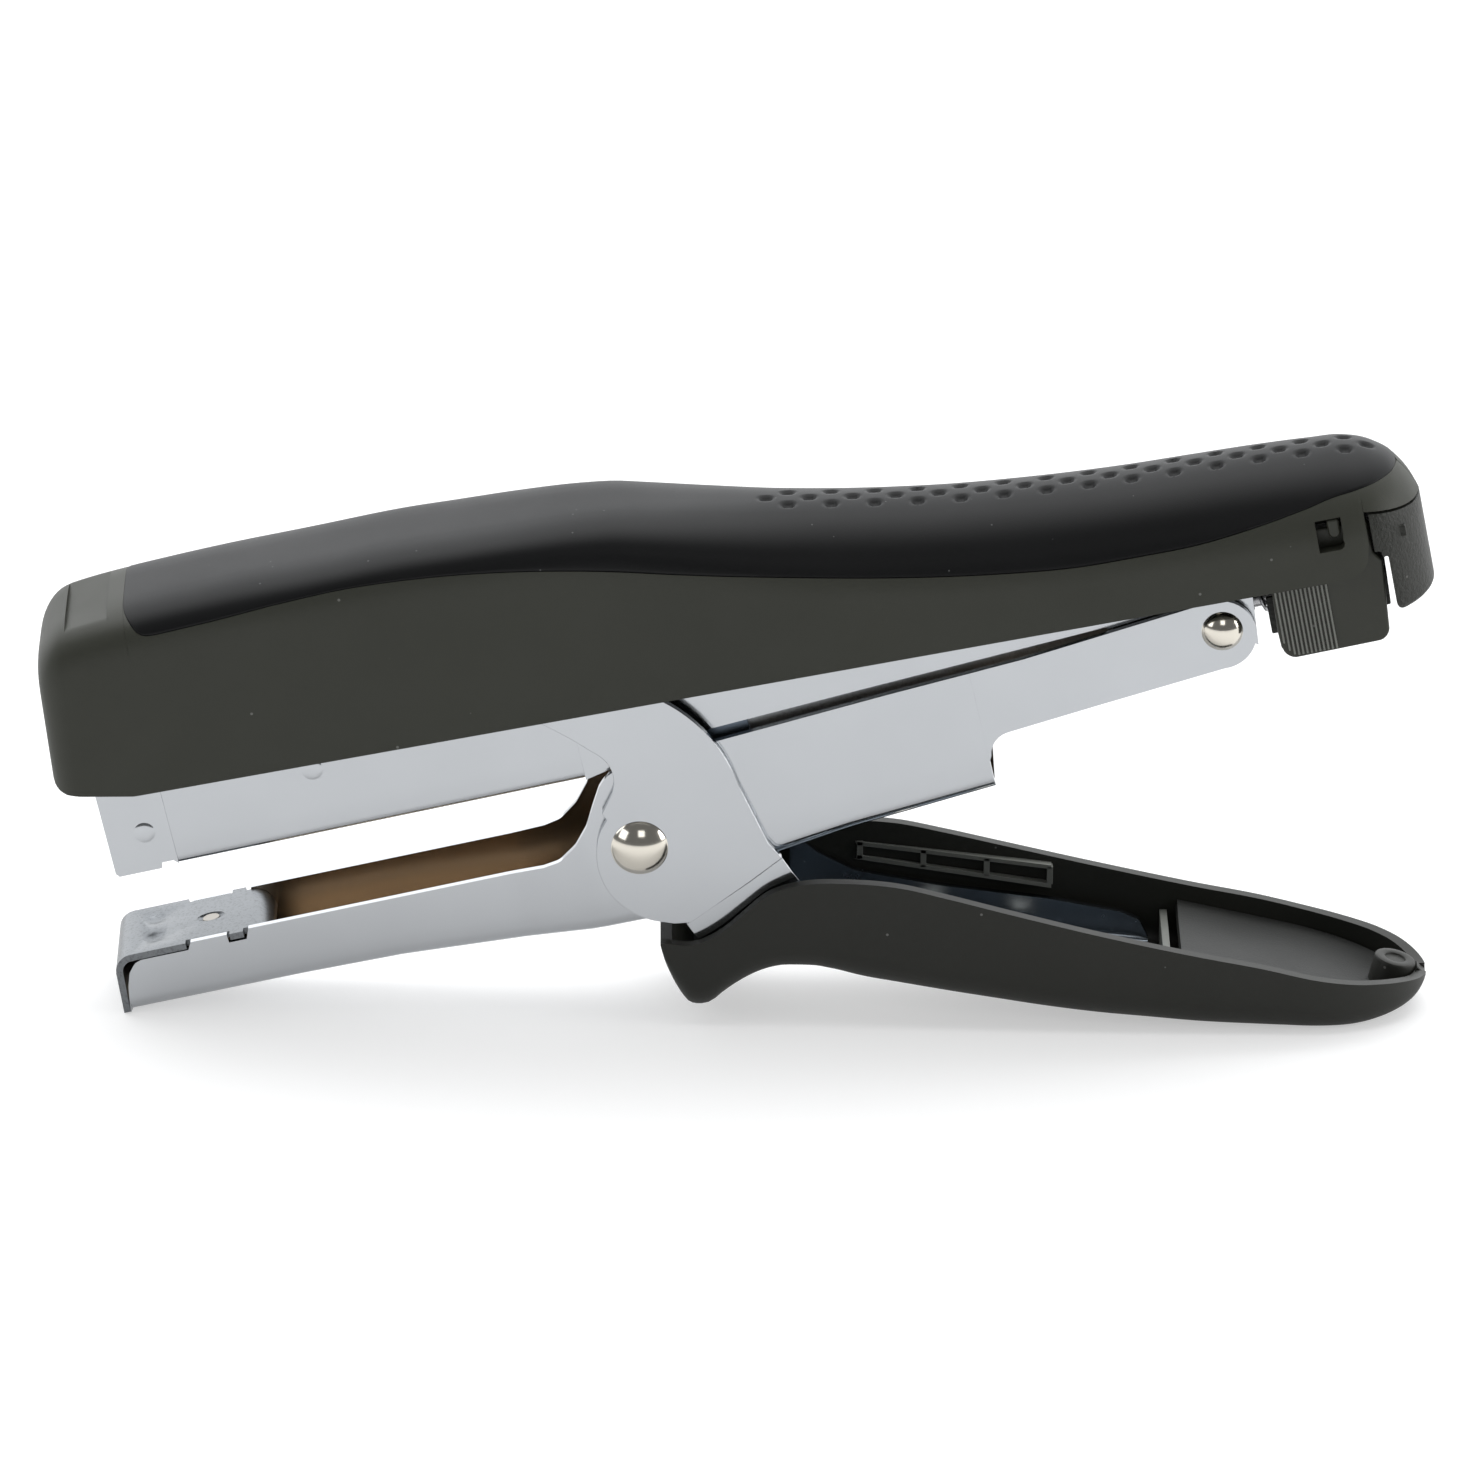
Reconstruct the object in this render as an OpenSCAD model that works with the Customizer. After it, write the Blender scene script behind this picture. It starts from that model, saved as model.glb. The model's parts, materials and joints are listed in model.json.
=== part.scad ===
// Plier stapler: a cover with a rubber grip over a pivoting magazine, an anvil arm that
// closes on the magazine, and a lower lever with a handle that squeezes the two together.
// +X runs from the nose to the grips, +Z is up, and the part is symmetric about Y = 0.

/* [Main pivots] */
// X of the rear rivet, about which the anvil arm turns
rear_x = 64.7; // [60:0.5:70]
// Z of the rear rivet above the table
rear_z = 57.35; // [57:0.05:58]
// X of the centre rivet, about which the lower lever turns
centre_x = -13.1; // [-14:0.1:-12]
// Z of the centre rivet above the table
centre_z = 25.85; // [25.5:0.05:26]

/* [Rest angles] */
// Tilt of the cover and frame from the table
cover_tilt = 11.3; // [11:0.1:11.6]
// Tilt of the magazine
magazine_tilt = 13.1; // [13:0.1:13.3]
// Tilt of the anvil arm
arm_tilt = 13.2; // [13.1:0.1:13.4]

/* [Widths] */
// Half width of the cover
cover_half = 12; // [11.9:0.1:12.5]
// Thickness of the moulded cover wall
cover_wall = 2; // [1.6:0.1:2]
// Half width of the magazine channel
magazine_half = 6.9; // [6.85:0.05:6.95]
// Sheet thickness of the magazine channel
magazine_sheet = 0.5; // [0.4:0.05:0.5]
// Half width of the anvil arm at its jaw
jaw_half = 7.45; // [7.3:0.05:7.6]
// Half width of the anvil arm along its body
arm_half = 8.25; // [8.2:0.05:8.3]
// Sheet thickness of the anvil arm
arm_sheet = 1; // [0.8:0.1:1]
// Half width of the lower lever over its side plates
lever_half = 9.6; // [9.5:0.05:9.7]
// Sheet thickness of the lower lever
lever_sheet = 1.1; // [0.9:0.1:1.1]
// Half width of the handle shell at its widest
handle_half = 12.8; // [12.5:0.1:13]
// Wall thickness of the handle shell
handle_wall = 1.5; // [1.4:0.1:1.6]

/* [Staples] */
// Outside width of a staple
staple_width = 12.6; // [12.4:0.1:12.6]
// Height of a staple, crown to tip
staple_height = 6.3; // [6:0.1:6.4]
// Length of the strip in the magazine
strip_length = 74; // [20:1:74]

/* [Rivets] */
// Head radius of the centre rivet
centre_head = 3.85; // [3.5:0.05:4]
// Head radius of the rear rivets
rear_head = 2.85; // [2.5:0.05:3]
// Radial clearance of a running fit
running = 0.05; // [0.03:0.01:0.08]

/* [Hanging hole] */
// Radius of the hole in the handle tip
tip_hole = 1.35; // [1:0.05:1.5]

/* [Hidden] */
$fn = 48;

olive = [0.22, 0.22, 0.19];
rubber = [0.08, 0.08, 0.09];
chrome = [0.75, 0.78, 0.8];
blued = [0.25, 0.29, 0.33];
nickel = [0.8, 0.77, 0.7];
zinc = [0.62, 0.65, 0.68];
spring_steel = [0.5, 0.5, 0.52];

// The centre rivet seen from the rear rivet, along and across the anvil arm
reach_x = centre_x - rear_x;
reach_z = centre_z - rear_z;
centre_u = reach_x * cos(arm_tilt) + reach_z * sin(arm_tilt);
centre_w = reach_z * cos(arm_tilt) - reach_x * sin(arm_tilt);

// Anvil arm: its foot is the point that rests on the table
foot_u = -155.3;
foot_w = -(rear_z + foot_u * sin(arm_tilt)) / cos(arm_tilt);
jaw_top = -13.9;
cap_sheet = 0.9;

// Magazine: floor, nose and the top of the staple track
track_floor = -2.9;
nose_u = -153;
driver_slot = 1.6;
strip_u = nose_u + magazine_sheet + driver_slot;
rail_top = 3.6;
rail_half = 5.6;
rod_w = 0.3;
rod_r = 1.2;
follower_u = strip_u + strip_length;
crown_w = rail_top + 0.15;

// Cover pivot, above the staple track and over the rear rivet
cover_pivot_w = 9.2;
lug_r = 2.3;
pivot_r = 1.5;
pivot_u = -cover_pivot_w * sin(magazine_tilt - cover_tilt);
pivot_w = cover_pivot_w * cos(magazine_tilt - cover_tilt);
// Frame plates, outside the magazine and inside the lever
frame_half = 8.2;
frame_sheet = 1;
frame_low = 7.8;
frame_top_points = [[-149, 22], [-80, 22], [-52, 15.5], [-24, 12], [6, 12]];
frame_floor_end = -6;
screw_places = [-120, -10];
// Drive pin in the top of the lever, from rest to the closed end of its slot in the frame
drive_x = -16.9;
drive_z = 25.5;
drive_rest = [-94, 12.6];
drive_closed = [-104.9, 18.05];
drive_r = 1.5;
roller_r = 2.3;
slot_play = 0.7;

// Outline of the cover: its lower edge and the line on which the grip sits
cover_low = 5.6;
cover_front = -158;
grip_front = -143.9;
seam_points = [
    [-144, 28.2], [-134, 28.4], [-124, 29], [-113, 29.4], [-104, 29.1], [-93, 28],
    [-79, 25.4], [-69, 23.1], [-58.5, 20.6], [-43, 17.5], [-28, 15.2], [-17, 14.3],
    [-5, 14.1], [7, 15], [14, 16], [20, 16.8], [27.5, 16.8]
];
crest_points = [
    [-153, 30], [-147.5, 30.6], [-139, 31.2], [-131, 31.6], [-118, 31.9], [-106, 32.2],
    [-98, 32], [-90, 31.8], [-81, 31.4], [-77, 31], [-73, 30.2], [-65, 28.6], [-57, 27.1],
    [-49, 25.8], [-41, 24.5], [-33, 23.4], [-25, 22.6], [-17, 22], [-9, 21.6], [0, 21.4],
    [8, 21.2], [16, 20.8], [20, 20.5], [24, 19.1], [27.5, 17.2]
];
grip_round = 4.8;
rubber_depth = 2.5;
core_half = 9;
rear_centre_u = 17;
rear_reach = 12.2;
// Top of the rear plug across its width: it slides out under the cover's roof
plug_arch = [[0, 11.7], [3, 11.8], [6, 12.3], [9, 13], [10.4, 13.5], [12.5, 14.1]];
plug_gap = 0.3;

// ---- helpers ----

// Points on an arc about (x, y), from angle a to angle b
function arc(x, y, r, a, b, steps = 8) =
    [for (i = [0:steps]) let (t = a + (b - a) * i / steps) [x + r * cos(t), y + r * sin(t)]];

// Height of a polyline at u
function height(points, u) =
    let (i = max([for (k = [0:len(points) - 2]) points[k][0] <= u ? k : 0]))
    let (a = points[i], b = points[i + 1])
    a[1] + (b[1] - a[1]) * (u - a[0]) / (b[0] - a[0]);

// Half width of the cover's plan at u: straight sides and an elliptic rear end
function plan_half(u) =
    u < rear_centre_u ? cover_half
    : cover_half * sqrt(max(0, 1 - pow((u - rear_centre_u) / rear_reach, 2)));

module along(tilt) {
    translate([rear_x, 0, rear_z]) rotate([0, -tilt, 0]) children();
}

module at_centre() {
    translate([centre_x, 0, centre_z]) children();
}

// A side view drawn in X and Z, given thickness from y0 to y1
module slab(y0, y1) {
    translate([0, y1, 0]) rotate([90, 0, 0]) linear_extrude(y1 - y0) children();
}

module both_sides(y0, y1) {
    slab(y0, y1) children();
    slab(-y1, -y0) children();
}

module pin(x, z, r, y0, y1) {
    translate([x, y1, z]) rotate([90, 0, 0]) cylinder(r = r, h = y1 - y0);
}

// A rod along the local X axis
module rod(r, x0, x1, y = 0, z = 0) {
    translate([x0, y, z]) rotate([0, 90, 0]) cylinder(r = r, h = x1 - x0);
}

module block(x0, x1, y0, y1, z0, z1) {
    translate([x0, y0, z0]) cube([x1 - x0, y1 - y0, z1 - z0]);
}

module mirrored_block(x0, x1, y0, y1, z0, z1) {
    block(x0, x1, y0, y1, z0, z1);
    block(x0, x1, -y1, -y0, z0, z1);
}

// A low domed rivet head that stands on the face y = face, towards -Y
module dome(x, z, r, h, face) {
    ball = (r * r + h * h) / (2 * h);
    translate([x, face, z]) rotate([90, 0, 0]) intersection() {
        translate([0, 0, h - ball]) sphere(r = ball);
        cylinder(r = r, h = h);
    }
}

// A coil spring's outside, as rings along local Z
module coil(outer, wire, length, turns) {
    pitch = length / turns;
    inner = outer - wire;
    ridge = concat(
        [[inner, 0]],
        [for (i = [0:turns - 1]) each [[outer - wire / 2, pitch * i], [outer, pitch * (i + 0.5)]]],
        [[outer - wire / 2, length], [inner, length]]);
    rotate_extrude($fn = 24) polygon(ridge);
}

// ---- cover and grip ----

// Side view of the cover below the grip
module cover_side() {
    polygon(concat(
        [[17.9, cover_low], [-147.4, cover_low]],
        arc(cover_front + 2.2, 9.6, 2.2, 260, 180, 5),
        arc(-151.2, 24.4, 5.8, 175, 100, 10),
        [[-147.5, 30.6], [-144.1, 30.8], [-144, 28.1]],
        [for (p = seam_points) [p[0], p[1] - 0.05]],
        [[28, 16.3], [28.9, 14.8], [29.4, 11], [21.4, 11], [21.4, 8.6]],
        arc(18.4, 8.6, 3, 0, -80, 6)));
}

// Side view of the rib under the grip, a rubber's depth below the crest
module core_side() {
    polygon(concat(
        [[-120, 27.5]],
        [for (p = crest_points) if (p[0] > -110 && p[0] < 22) p - [0, rubber_depth]],
        [[22, 15.3], [18, 14.5], [-5, 13], [-30, 14], [-60, 19], [-93, 26], [-120, 27]]));
}

module cover_plan(inset) {
    front = cover_front + inset;
    corner = 4 - inset / 2;
    half = cover_half - inset;
    polygon(concat(
        arc(front + corner, half - corner, corner, 90, 180, 6),
        arc(front + corner, corner - half, corner, 180, 270, 6),
        [for (a = [-90:10:90])
            [rear_centre_u + (rear_reach - inset) * cos(a), half * sin(a)]]));
}

// Cross-section of the nose, square below and rounded at its top corners
module nose_section() {
    flank = cover_half + 1;
    polygon(concat(
        [[-flank, -60], [flank, -60], [flank, -8], [cover_half, -8]],
        arc(cover_half - grip_round, -grip_round, grip_round, 0, 90, 8),
        arc(grip_round - cover_half, -grip_round, grip_round, 90, 180, 8),
        [[-cover_half, -8], [-flank, -8]]));
}

// Everything below the plug's arched top, along the magazine, lifted by a gap
module below_arch(u0, u1, lift) {
    rotate([0, cover_tilt - magazine_tilt, 0]) translate([u0, 0, 0]) rotate([90, 0, 90])
        linear_extrude(u1 - u0) polygon(concat(
            [[13, -6], [13, plug_arch[5][1] + lift]],
            [for (i = [5:-1:0]) plug_arch[i] + [0, lift]],
            [for (i = [1:5]) [-plug_arch[i][0], plug_arch[i][1] + lift]],
            [[-13, plug_arch[5][1] + lift], [-13, -6]]));
}

module top_cover() {
    inner = cover_half - cover_wall;
    color(olive) along(cover_tilt) {
        difference() {
            union() {
                intersection() {
                    slab(-cover_half, cover_half) cover_side();
                    translate([0, 0, -5]) linear_extrude(45) cover_plan(0);
                    translate([-170, 0, 27.5]) rotate([0, -7.3, 0]) rotate([90, 0, 90])
                        linear_extrude(240) nose_section();
                }
                intersection() {
                    slab(-core_half, core_half) core_side();
                    translate([0, 0, -5]) linear_extrude(45) cover_plan(rubber_depth + 0.4);
                }
            }
            slab(-inner, inner) polygon(concat(
                [[-154.8, 4], [-154.8, 25.5], [-151, 26.8]],
                [for (p = seam_points) if (p[0] > -144 && p[0] < 19) p - [0, cover_wall]],
                [[17.9, 14.2], [19.4, 14.2], [19.4, 4]]));
            slab(-6.5, 6.5) polygon([
                [-84, 20], [-82, 25.5], [-71, 24], [-54, 20.6], [-33, 17.2], [-21, 16], [-19, 11], [-60, 11]
            ]);
            below_arch(21.25, 45, plug_gap);
            block(17, 22, -inner, inner, 3, 13.2);
            mirrored_block(14.8, 18.3, inner - 1, cover_half + 1, 10.1, 14);
            for (u = screw_places) translate([u, 0, 10]) cylinder(r = 1, h = 5.5);
        }
        translate([screw_places[0], 0, 22.02]) difference() {
            cylinder(r = 3, h = 6);
            translate([0, 0, -1]) cylinder(r = 1, h = 5.5);
        }
        for (u = [-138, -122, -48, -22])
            mirrored_block(u, u + 1.4, frame_half + 0.05, inner + 0.5, 9.5, 13);
    }
}

// One cross-section of the grip at u: a channel over the cover's rib, rounded above
function grip_section(u, steps = 7) =
    let (low = height(seam_points, u), top = height(crest_points, u))
    let (half = plan_half(u) - 0.02, rise = top - low)
    let (inner = min(core_half + 0.03, half - rubber_depth))
    let (roof = low + max(0.25, rise - rubber_depth + 0.05))
    let (round_y = min(half * 0.62, grip_round + 2.6 * (u > -70 ? min(1, (u + 70) / 25) : 0)))
    concat(
        [[u, -inner, low], [u, -half, low]],
        [for (i = [1:steps]) let (t = 90 * i / steps)
            [u, -(half - round_y) - round_y * cos(t), low + rise * sin(t)]],
        [for (i = [steps:-1:1]) let (t = 90 * i / steps)
            [u, half - round_y + round_y * cos(t), low + rise * sin(t)]],
        [[u, half, low], [u, inner, low], [u, inner, roof], [u, -inner, roof]]);

module grip_insert() {
    stations = concat(
        [for (u = [grip_front:4:-60]) u], [for (u = [-56:4:16]) u], [18, 20, 22, 24, 25.5, 26.6]);
    rings = [for (u = stations) grip_section(u)];
    n = len(rings[0]);
    last = len(rings) - 1;
    color(rubber) along(cover_tilt) polyhedron(
        points = [for (r = rings) each r],
        faces = concat(
            [[for (i = [0:n - 1]) i]],
            [[for (i = [n - 1:-1:0]) last * n + i]],
            [for (s = [0:last - 1], i = [0:n - 1]) let (j = (i + 1) % n)
                [s * n + i, (s + 1) * n + i, (s + 1) * n + j, s * n + j]]));
}

// ---- frame and driver ----

// Slot in the frame plates in which the lever's rollers travel
module drive_slot() {
    hull() {
        translate(drive_rest) circle(r = roller_r + slot_play, $fn = 32);
        translate(drive_closed) circle(r = roller_r + slot_play, $fn = 32);
    }
}

module frame_side() {
    difference() {
        polygon(concat(
            [[-152.6, frame_low], [-6, frame_low], [-4, 6.4], [4, 6.4], [6, frame_low]],
            [for (i = [4:-1:0]) frame_top_points[i]],
            [[-152.6, 19]]));
        translate([pivot_u, pivot_w]) circle(r = pivot_r);
        drive_slot();
    }
}

module upper_frame() {
    web_half = frame_half - frame_sheet / 2;
    roof = [for (p = frame_top_points) if (p[0] < -6) p];
    color(zinc) along(cover_tilt) {
        both_sides(frame_half - frame_sheet, frame_half) frame_side();
        difference() {
            slab(-web_half, web_half) polygon(concat(
                roof, [[frame_floor_end, 12], [frame_floor_end, 12 - frame_sheet]],
                [for (i = [3:-1:0]) roof[i] - [0, frame_sheet]]));
            for (u = screw_places) translate([u, 0, 0]) cylinder(r = 1.1, h = 30);
        }
        difference() {
            block(-151.8, -150.8, -6, 6, 9.5, 22);
            for (y = [-3, 3]) rod(0.9, -153, -149, y, 13);
        }
        block(-151.8, -148.5, -6, 6, 21, 22);
    }
}

module driver_blade() {
    color(spring_steel) along(cover_tilt) difference() {
        block(-152.33, -151.83, -6.2, 6.2, 1.9, 15);
        for (y = [-3, 3]) rod(0.9, -153, -149, y, 13);
    }
}

module driver_rivets() {
    color(nickel) along(cover_tilt) for (y = [-3, 3]) {
        rod(0.89, -152.6, -150.5, y, 13);
        rod(1.5, -152.7, -152.36, y, 13);
        rod(1.5, -150.77, -150.3, y, 13);
    }
}

module drive_pin() {
    color(spring_steel) at_centre() pin(drive_x, drive_z, drive_r, -lever_half, lever_half);
}

module drive_rollers() {
    color(nickel) at_centre() for (y = [-8.4, 7.05]) difference() {
        pin(drive_x, drive_z, roller_r, y, y + 1.35);
        pin(drive_x, drive_z, drive_r + 0.02, y - 1, y + 3);
    }
}

module cover_pivot_pin() {
    color(spring_steel) along(cover_tilt) pin(pivot_u, pivot_w, pivot_r, -9, 9);
}

module frame_screws() {
    color(zinc) along(cover_tilt) for (u = screw_places) translate([u, 0, 0]) {
        top = height(frame_top_points, u);
        translate([0, 0, top - frame_sheet - 1.2]) cylinder(r = 2.2, h = 1.18);
        translate([0, 0, top - frame_sheet - 0.1]) cylinder(r = 0.98, h = 4);
    }
}

// ---- magazine ----

module magazine_side() {
    difference() {
        polygon(concat(
            [[nose_u, track_floor + 0.4], [nose_u + 0.4, track_floor], [-146.6, track_floor],
             [-146.4, -2.1], [-144.7, -2.1], [-144.3, track_floor], [-88, track_floor]],
            [[-84, -2], [-78, -0.2], [-70, 0.7], [-49, 1.8], [-15.3, 3.4], [-9, -0.5]],
            arc(0, 0, 4.6, 205, 320, 8),
            [[4.6, -2.4], [4.9, 3], [4.9, 7.2]],
            arc(0, cover_pivot_w, lug_r, 0, 180, 10),
            [[-7, 7.2], [-60, 8.2], [nose_u, 10.9]]));
        circle(r = 1.6);
        translate([0, cover_pivot_w]) circle(r = pivot_r + running);
    }
}

module wall_dimple(u, w) {
    ball = 4.1;
    proud = 0.2;
    intersection() {
        for (s = [-1, 1]) translate([u, s * (magazine_half + proud - ball), w]) sphere(r = ball);
        mirrored_block(u - 3, u + 3, magazine_half - magazine_sheet / 2, magazine_half + 1, w - 3, w + 3);
    }
}

module magazine_channel() {
    inner = magazine_half - magazine_sheet;
    color(chrome) along(magazine_tilt) {
        both_sides(inner, magazine_half) magazine_side();
        block(nose_u, nose_u + magazine_sheet, -inner - 0.1, inner + 0.1, track_floor + 0.1, 6.8);
        block(-144.3, -88, -inner - 0.1, inner + 0.1, track_floor, track_floor + 0.6);
        block(-66, -54, -inner - 0.1, inner + 0.1, 6.4, 7);
        wall_dimple(-147.8, 2.7);
        wall_dimple(-123.6, 6);
    }
}

module staple_rail() {
    low = track_floor + 0.62;
    color(blued) along(magazine_tilt) {
        difference() {
            block(strip_u, 3, -rail_half, rail_half, low, rail_top);
            block(strip_u - 1, 4, -rail_half + 0.6, rail_half - 0.6, low - 1, rail_top - 0.6);
            block(-146, 4, -1.3, 1.3, 0, rail_top + 1);
        }
        block(-66, -54, -rail_half, rail_half, low - 0.6, low);
    }
}

module staple_strip() {
    half = staple_width / 2;
    color(zinc) along(magazine_tilt) difference() {
        block(strip_u, follower_u, -half, half, crown_w + 0.5 - staple_height, crown_w + 0.5);
        block(strip_u - 1, follower_u + 1, -half + 0.55, half - 0.55, -9, crown_w);
    }
}

module rear_rivets() {
    color(nickel) along(magazine_tilt) for (s = [0, 1]) mirror([0, s, 0]) {
        pin(0, 0, 1.6, -8.1, magazine_sheet - magazine_half);
        dome(0, 0, rear_head, 1.5, -8.08);
    }
}

module magazine_spring() {
    color(spring_steel) along(cover_tilt) translate([-60.2, 0, 5.3])
        coil(4, 0.8, height(frame_top_points, -56) - frame_sheet - 5.5, 7);
}

module throat_spring() {
    color(spring_steel) along(arm_tilt) translate([-60, 0, -16.5])
        coil(4.4, 0.9, 13.6, 7);
}

// ---- pusher and plug ----

module follower() {
    back = follower_u + 12;
    color(blued) along(magazine_tilt) difference() {
        union() {
            block(follower_u + 0.05, back, -6.25, 6.25, crown_w, 5.5);
            mirrored_block(follower_u + 0.05, back, rail_half + 0.15, 6.25, -1.5, 5.4);
            block(follower_u + 0.05, back - 6, -1.1, 1.1, 1.2, crown_w + 0.1);
            rod(2, follower_u + 0.05, back - 6, 0, rod_w);
        }
        rod(rod_r + running, follower_u - 1, back, 0, rod_w);
    }
}

module pusher_spring() {
    front = follower_u + 6.1;
    color(spring_steel) along(magazine_tilt) translate([front, 0, rod_w]) rotate([0, 90, 0])
        coil(2.15, 0.6, 7.9 - front, 36);
}

module guide_rod() {
    color(spring_steel) along(magazine_tilt) rod(rod_r, -146, 20, 0, rod_w);
}

module plug_shell_side() {
    polygon(concat(
        [[22, 15], [22, 8.4], [23.3, 7.9], [23.4, 1]],
        arc(24.6, 0.4, 1.2, 180, 270, 4),
        arc(28, 0.2, 1, 270, 360, 4),
        [[29.3, 6], [29.3, 15]]));
}

module rear_plug() {
    color(olive) along(cover_tilt) {
        intersection() {
            slab(-cover_half, cover_half) plug_shell_side();
            translate([0, 0, -5]) linear_extrude(30) cover_plan(0);
            below_arch(21, 32, 0);
        }
        difference() {
            block(8, 23.6, -4.6, 4.6, -2, 3.2);
            rotate([0, cover_tilt - magazine_tilt, 0]) rod(rod_r, -10, 20, 0, rod_w);
        }
        mirrored_block(6.4, 22, 3, 4, -3.4, 2);
    }
}

// A squeeze tab: a leaf inside the cover, a ribbed pad below it and a rounded latch barb
module release_tab() {
    color(olive) along(cover_tilt) {
        slab(-9.7, -7.5) polygon(concat(
            [[7.5, 6.6]],
            arc(9.7, -2.6, 2.5, 180, 260, 6),
            arc(20.4, -2.9, 1.8, 280, 350, 5),
            [[22.8, 6.6], [21.7, 8], [21.7, 12.6], [12, 12.6], [12, 6.6]]));
        for (i = [0:12])
            block(8 + i * 0.52, 8.26 + i * 0.52, -9.9, -9.6, -3.4, 5.4);
        translate([16.8, -8.65, 11]) cylinder(r = 1.25, h = 1.5);
    }
}

module left_release_tab() {
    release_tab();
}

module right_release_tab() {
    mirror([0, 1, 0]) release_tab();
}

// ---- anvil arm ----

// Lower edge of the arm, from the foot to the end of its floor
arm_edge = [
    [foot_u, foot_w], [-132, -22.5], [-118, -22.8], [-105, -23.7], [-92, -24.5],
    [-82, -24.4], [-74, -22.2], [-65.3, -18.9], [-54.8, -17.5], [-34.4, -15.9]
];

module arm_side() {
    difference() {
        polygon(concat(
            arm_edge,
            [[-34.3, -11.6]],
            arc(-30.8, -11.2, 3.2, 175, 95, 6),
            [[-17.7, -6.8]],
            arc(-0.4, -0.5, 4.9, -95, 95, 16),
            [[-26.8, 1.9], [-46.1, 0.9], [-69.9, -0.6], [-80, -1]],
            arc(-84.2, -5.6, 3.6, 90, 160, 5),
            arc(-96.4, -5.6, 8.2, -18, -90, 8),
            [[-137.4, -13.6], [-137.9, -15.1], [-140.3, -15.1], [-140.4, jaw_top],
             [-145.6, jaw_top], [-146, jaw_top - cap_sheet - 0.05],
             [-153.2, jaw_top - cap_sheet - 0.05], [-154.1, -15.8]]));
        translate([centre_u, centre_w]) circle(r = 2.5);
        circle(r = 1.6 + running);
    }
}

module arm_plan(outset) {
    polygon([
        [-156, -jaw_half + outset], [-101, -jaw_half + outset], [-90, -arm_half + outset],
        [-13, -arm_half + outset], [-11, -arm_half + 0.2 + outset], [6, -arm_half + 0.2 + outset],
        [6, arm_half - 0.2 - outset], [-11, arm_half - 0.2 - outset], [-13, arm_half - outset],
        [-90, arm_half - outset], [-101, jaw_half - outset], [-156, jaw_half - outset]
    ]);
}

module anvil_arm() {
    color(chrome) along(arm_tilt) {
        intersection() {
            slab(-10, 10) arm_side();
            translate([0, 0, -30]) linear_extrude(40) difference() {
                arm_plan(0);
                offset(delta = 0.01) arm_plan(arm_sheet);
            }
        }
        difference() {
            intersection() {
                slab(-10, 10) polygon(concat(
                    arm_edge,
                    [for (i = [len(arm_edge) - 1:-1:0]) arm_edge[i] + [0, arm_sheet]]));
                translate([0, 0, -30]) linear_extrude(40) arm_plan(arm_sheet / 2);
            }
            translate([-142.9, 0, -30]) cylinder(r = 1.2, h = 20);
        }
    }
}

module anvil_cap() {
    top = jaw_top;
    under = jaw_top - cap_sheet;
    color(zinc) along(arm_tilt) difference() {
        union() {
            slab(-jaw_half, jaw_half) polygon(concat(
                [[-146.2, top]],
                arc(-153.9, -16.4, 2.5, 90, 175, 6),
                [[-156.7, -22.1], [-155.8, -22.1]],
                arc(-153.9, -16.4, 1.55, 175, 90, 6),
                [[-146.2, under]]));
            slab(-6.4, 6.4) polygon(concat(
                [[-146.3, top], [-146.3, under]],
                arc(-137.6, -17, 2.2, 90, 0, 6),
                arc(-137.6, -17, 3.1, 0, 90, 6)));
            block(-140.1, -138.2, -jaw_half, jaw_half, under, top);
        }
        for (y = [-3.1, 3.1]) translate([-150.6, y, top + 3.5]) sphere(r = 3.9);
        translate([-142.9, 0, -30]) cylinder(r = 1.2, h = 20);
    }
}

module anvil_rivet() {
    color(nickel) along(arm_tilt) translate([-142.9, 0, 0]) {
        translate([0, 0, -23]) cylinder(r = 1.18, h = jaw_top + 22.9);
    }
}

module centre_rivet() {
    color(nickel) at_centre() {
        pin(0, 0, 2.5, -lever_half - 0.1, lever_half + 0.1);
        dome(0, 0, centre_head, 1.9, -lever_half - 0.05);
        mirror([0, 1, 0]) dome(0, 0, centre_head, 1.9, -lever_half - 0.05);
    }
}

module centre_spacer() {
    reach = arm_half - arm_sheet - 0.03;
    color(zinc) at_centre() difference() {
        pin(0, 0, 3.3, -reach, reach);
        pin(0, 0, 2.5 + 0.02, -10, 10);
    }
}

// ---- lower lever and handle, seen from the centre rivet ----

// Rivets through the handle's floor, square to the lever's floor
rivet_places = [40, 52];
floor_slope = 9.37;
lever_floor = [
    [11, -13.2], [18, -14.3], [24, -15.4], [35, -17.6], [55, -20.9], [69.7, -22.4]
];

module lever_side() {
    difference() {
        polygon(concat(
            arc(drive_x, drive_z, 4.4, 60, 250, 14),
            [[-13.3, 18], [-9.5, 15.9]],
            arc(-8.4, 9.4, 4.9, 65, -20, 6),
            [[-5.1, 4.9]],
            arc(4.2, -1, 10, 150, 262, 14),
            [[7, -12]],
            lever_floor,
            [[69.7, -20.6]],
            arc(67, -20.4, 2.6, 0, 80, 5),
            [[56.3, -15.2], [41.4, -13.3], [29.7, -11.2], [24.5, -8.6], [21.6, -5.4]],
            [[17.3, 0.8], [13.5, 8.7]],
            arc(-7.4, 2.2, 21.8, 22, 62, 10)));
        circle(r = 2.5 + running);
        translate([drive_x, drive_z]) circle(r = drive_r);
    }
}

module lower_lever() {
    floor_top = [for (i = [len(lever_floor) - 1:-1:0]) lever_floor[i] + [0, lever_sheet]];
    color(chrome) at_centre() {
        both_sides(lever_half - lever_sheet, lever_half) lever_side();
        difference() {
            slab(-lever_half + 0.3, lever_half - 0.3) polygon(concat(lever_floor, floor_top));
            for (x = rivet_places) at_handle_rivet(x) translate([0, 0, -5]) cylinder(r = 1.5, h = 10);
        }
    }
}

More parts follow.
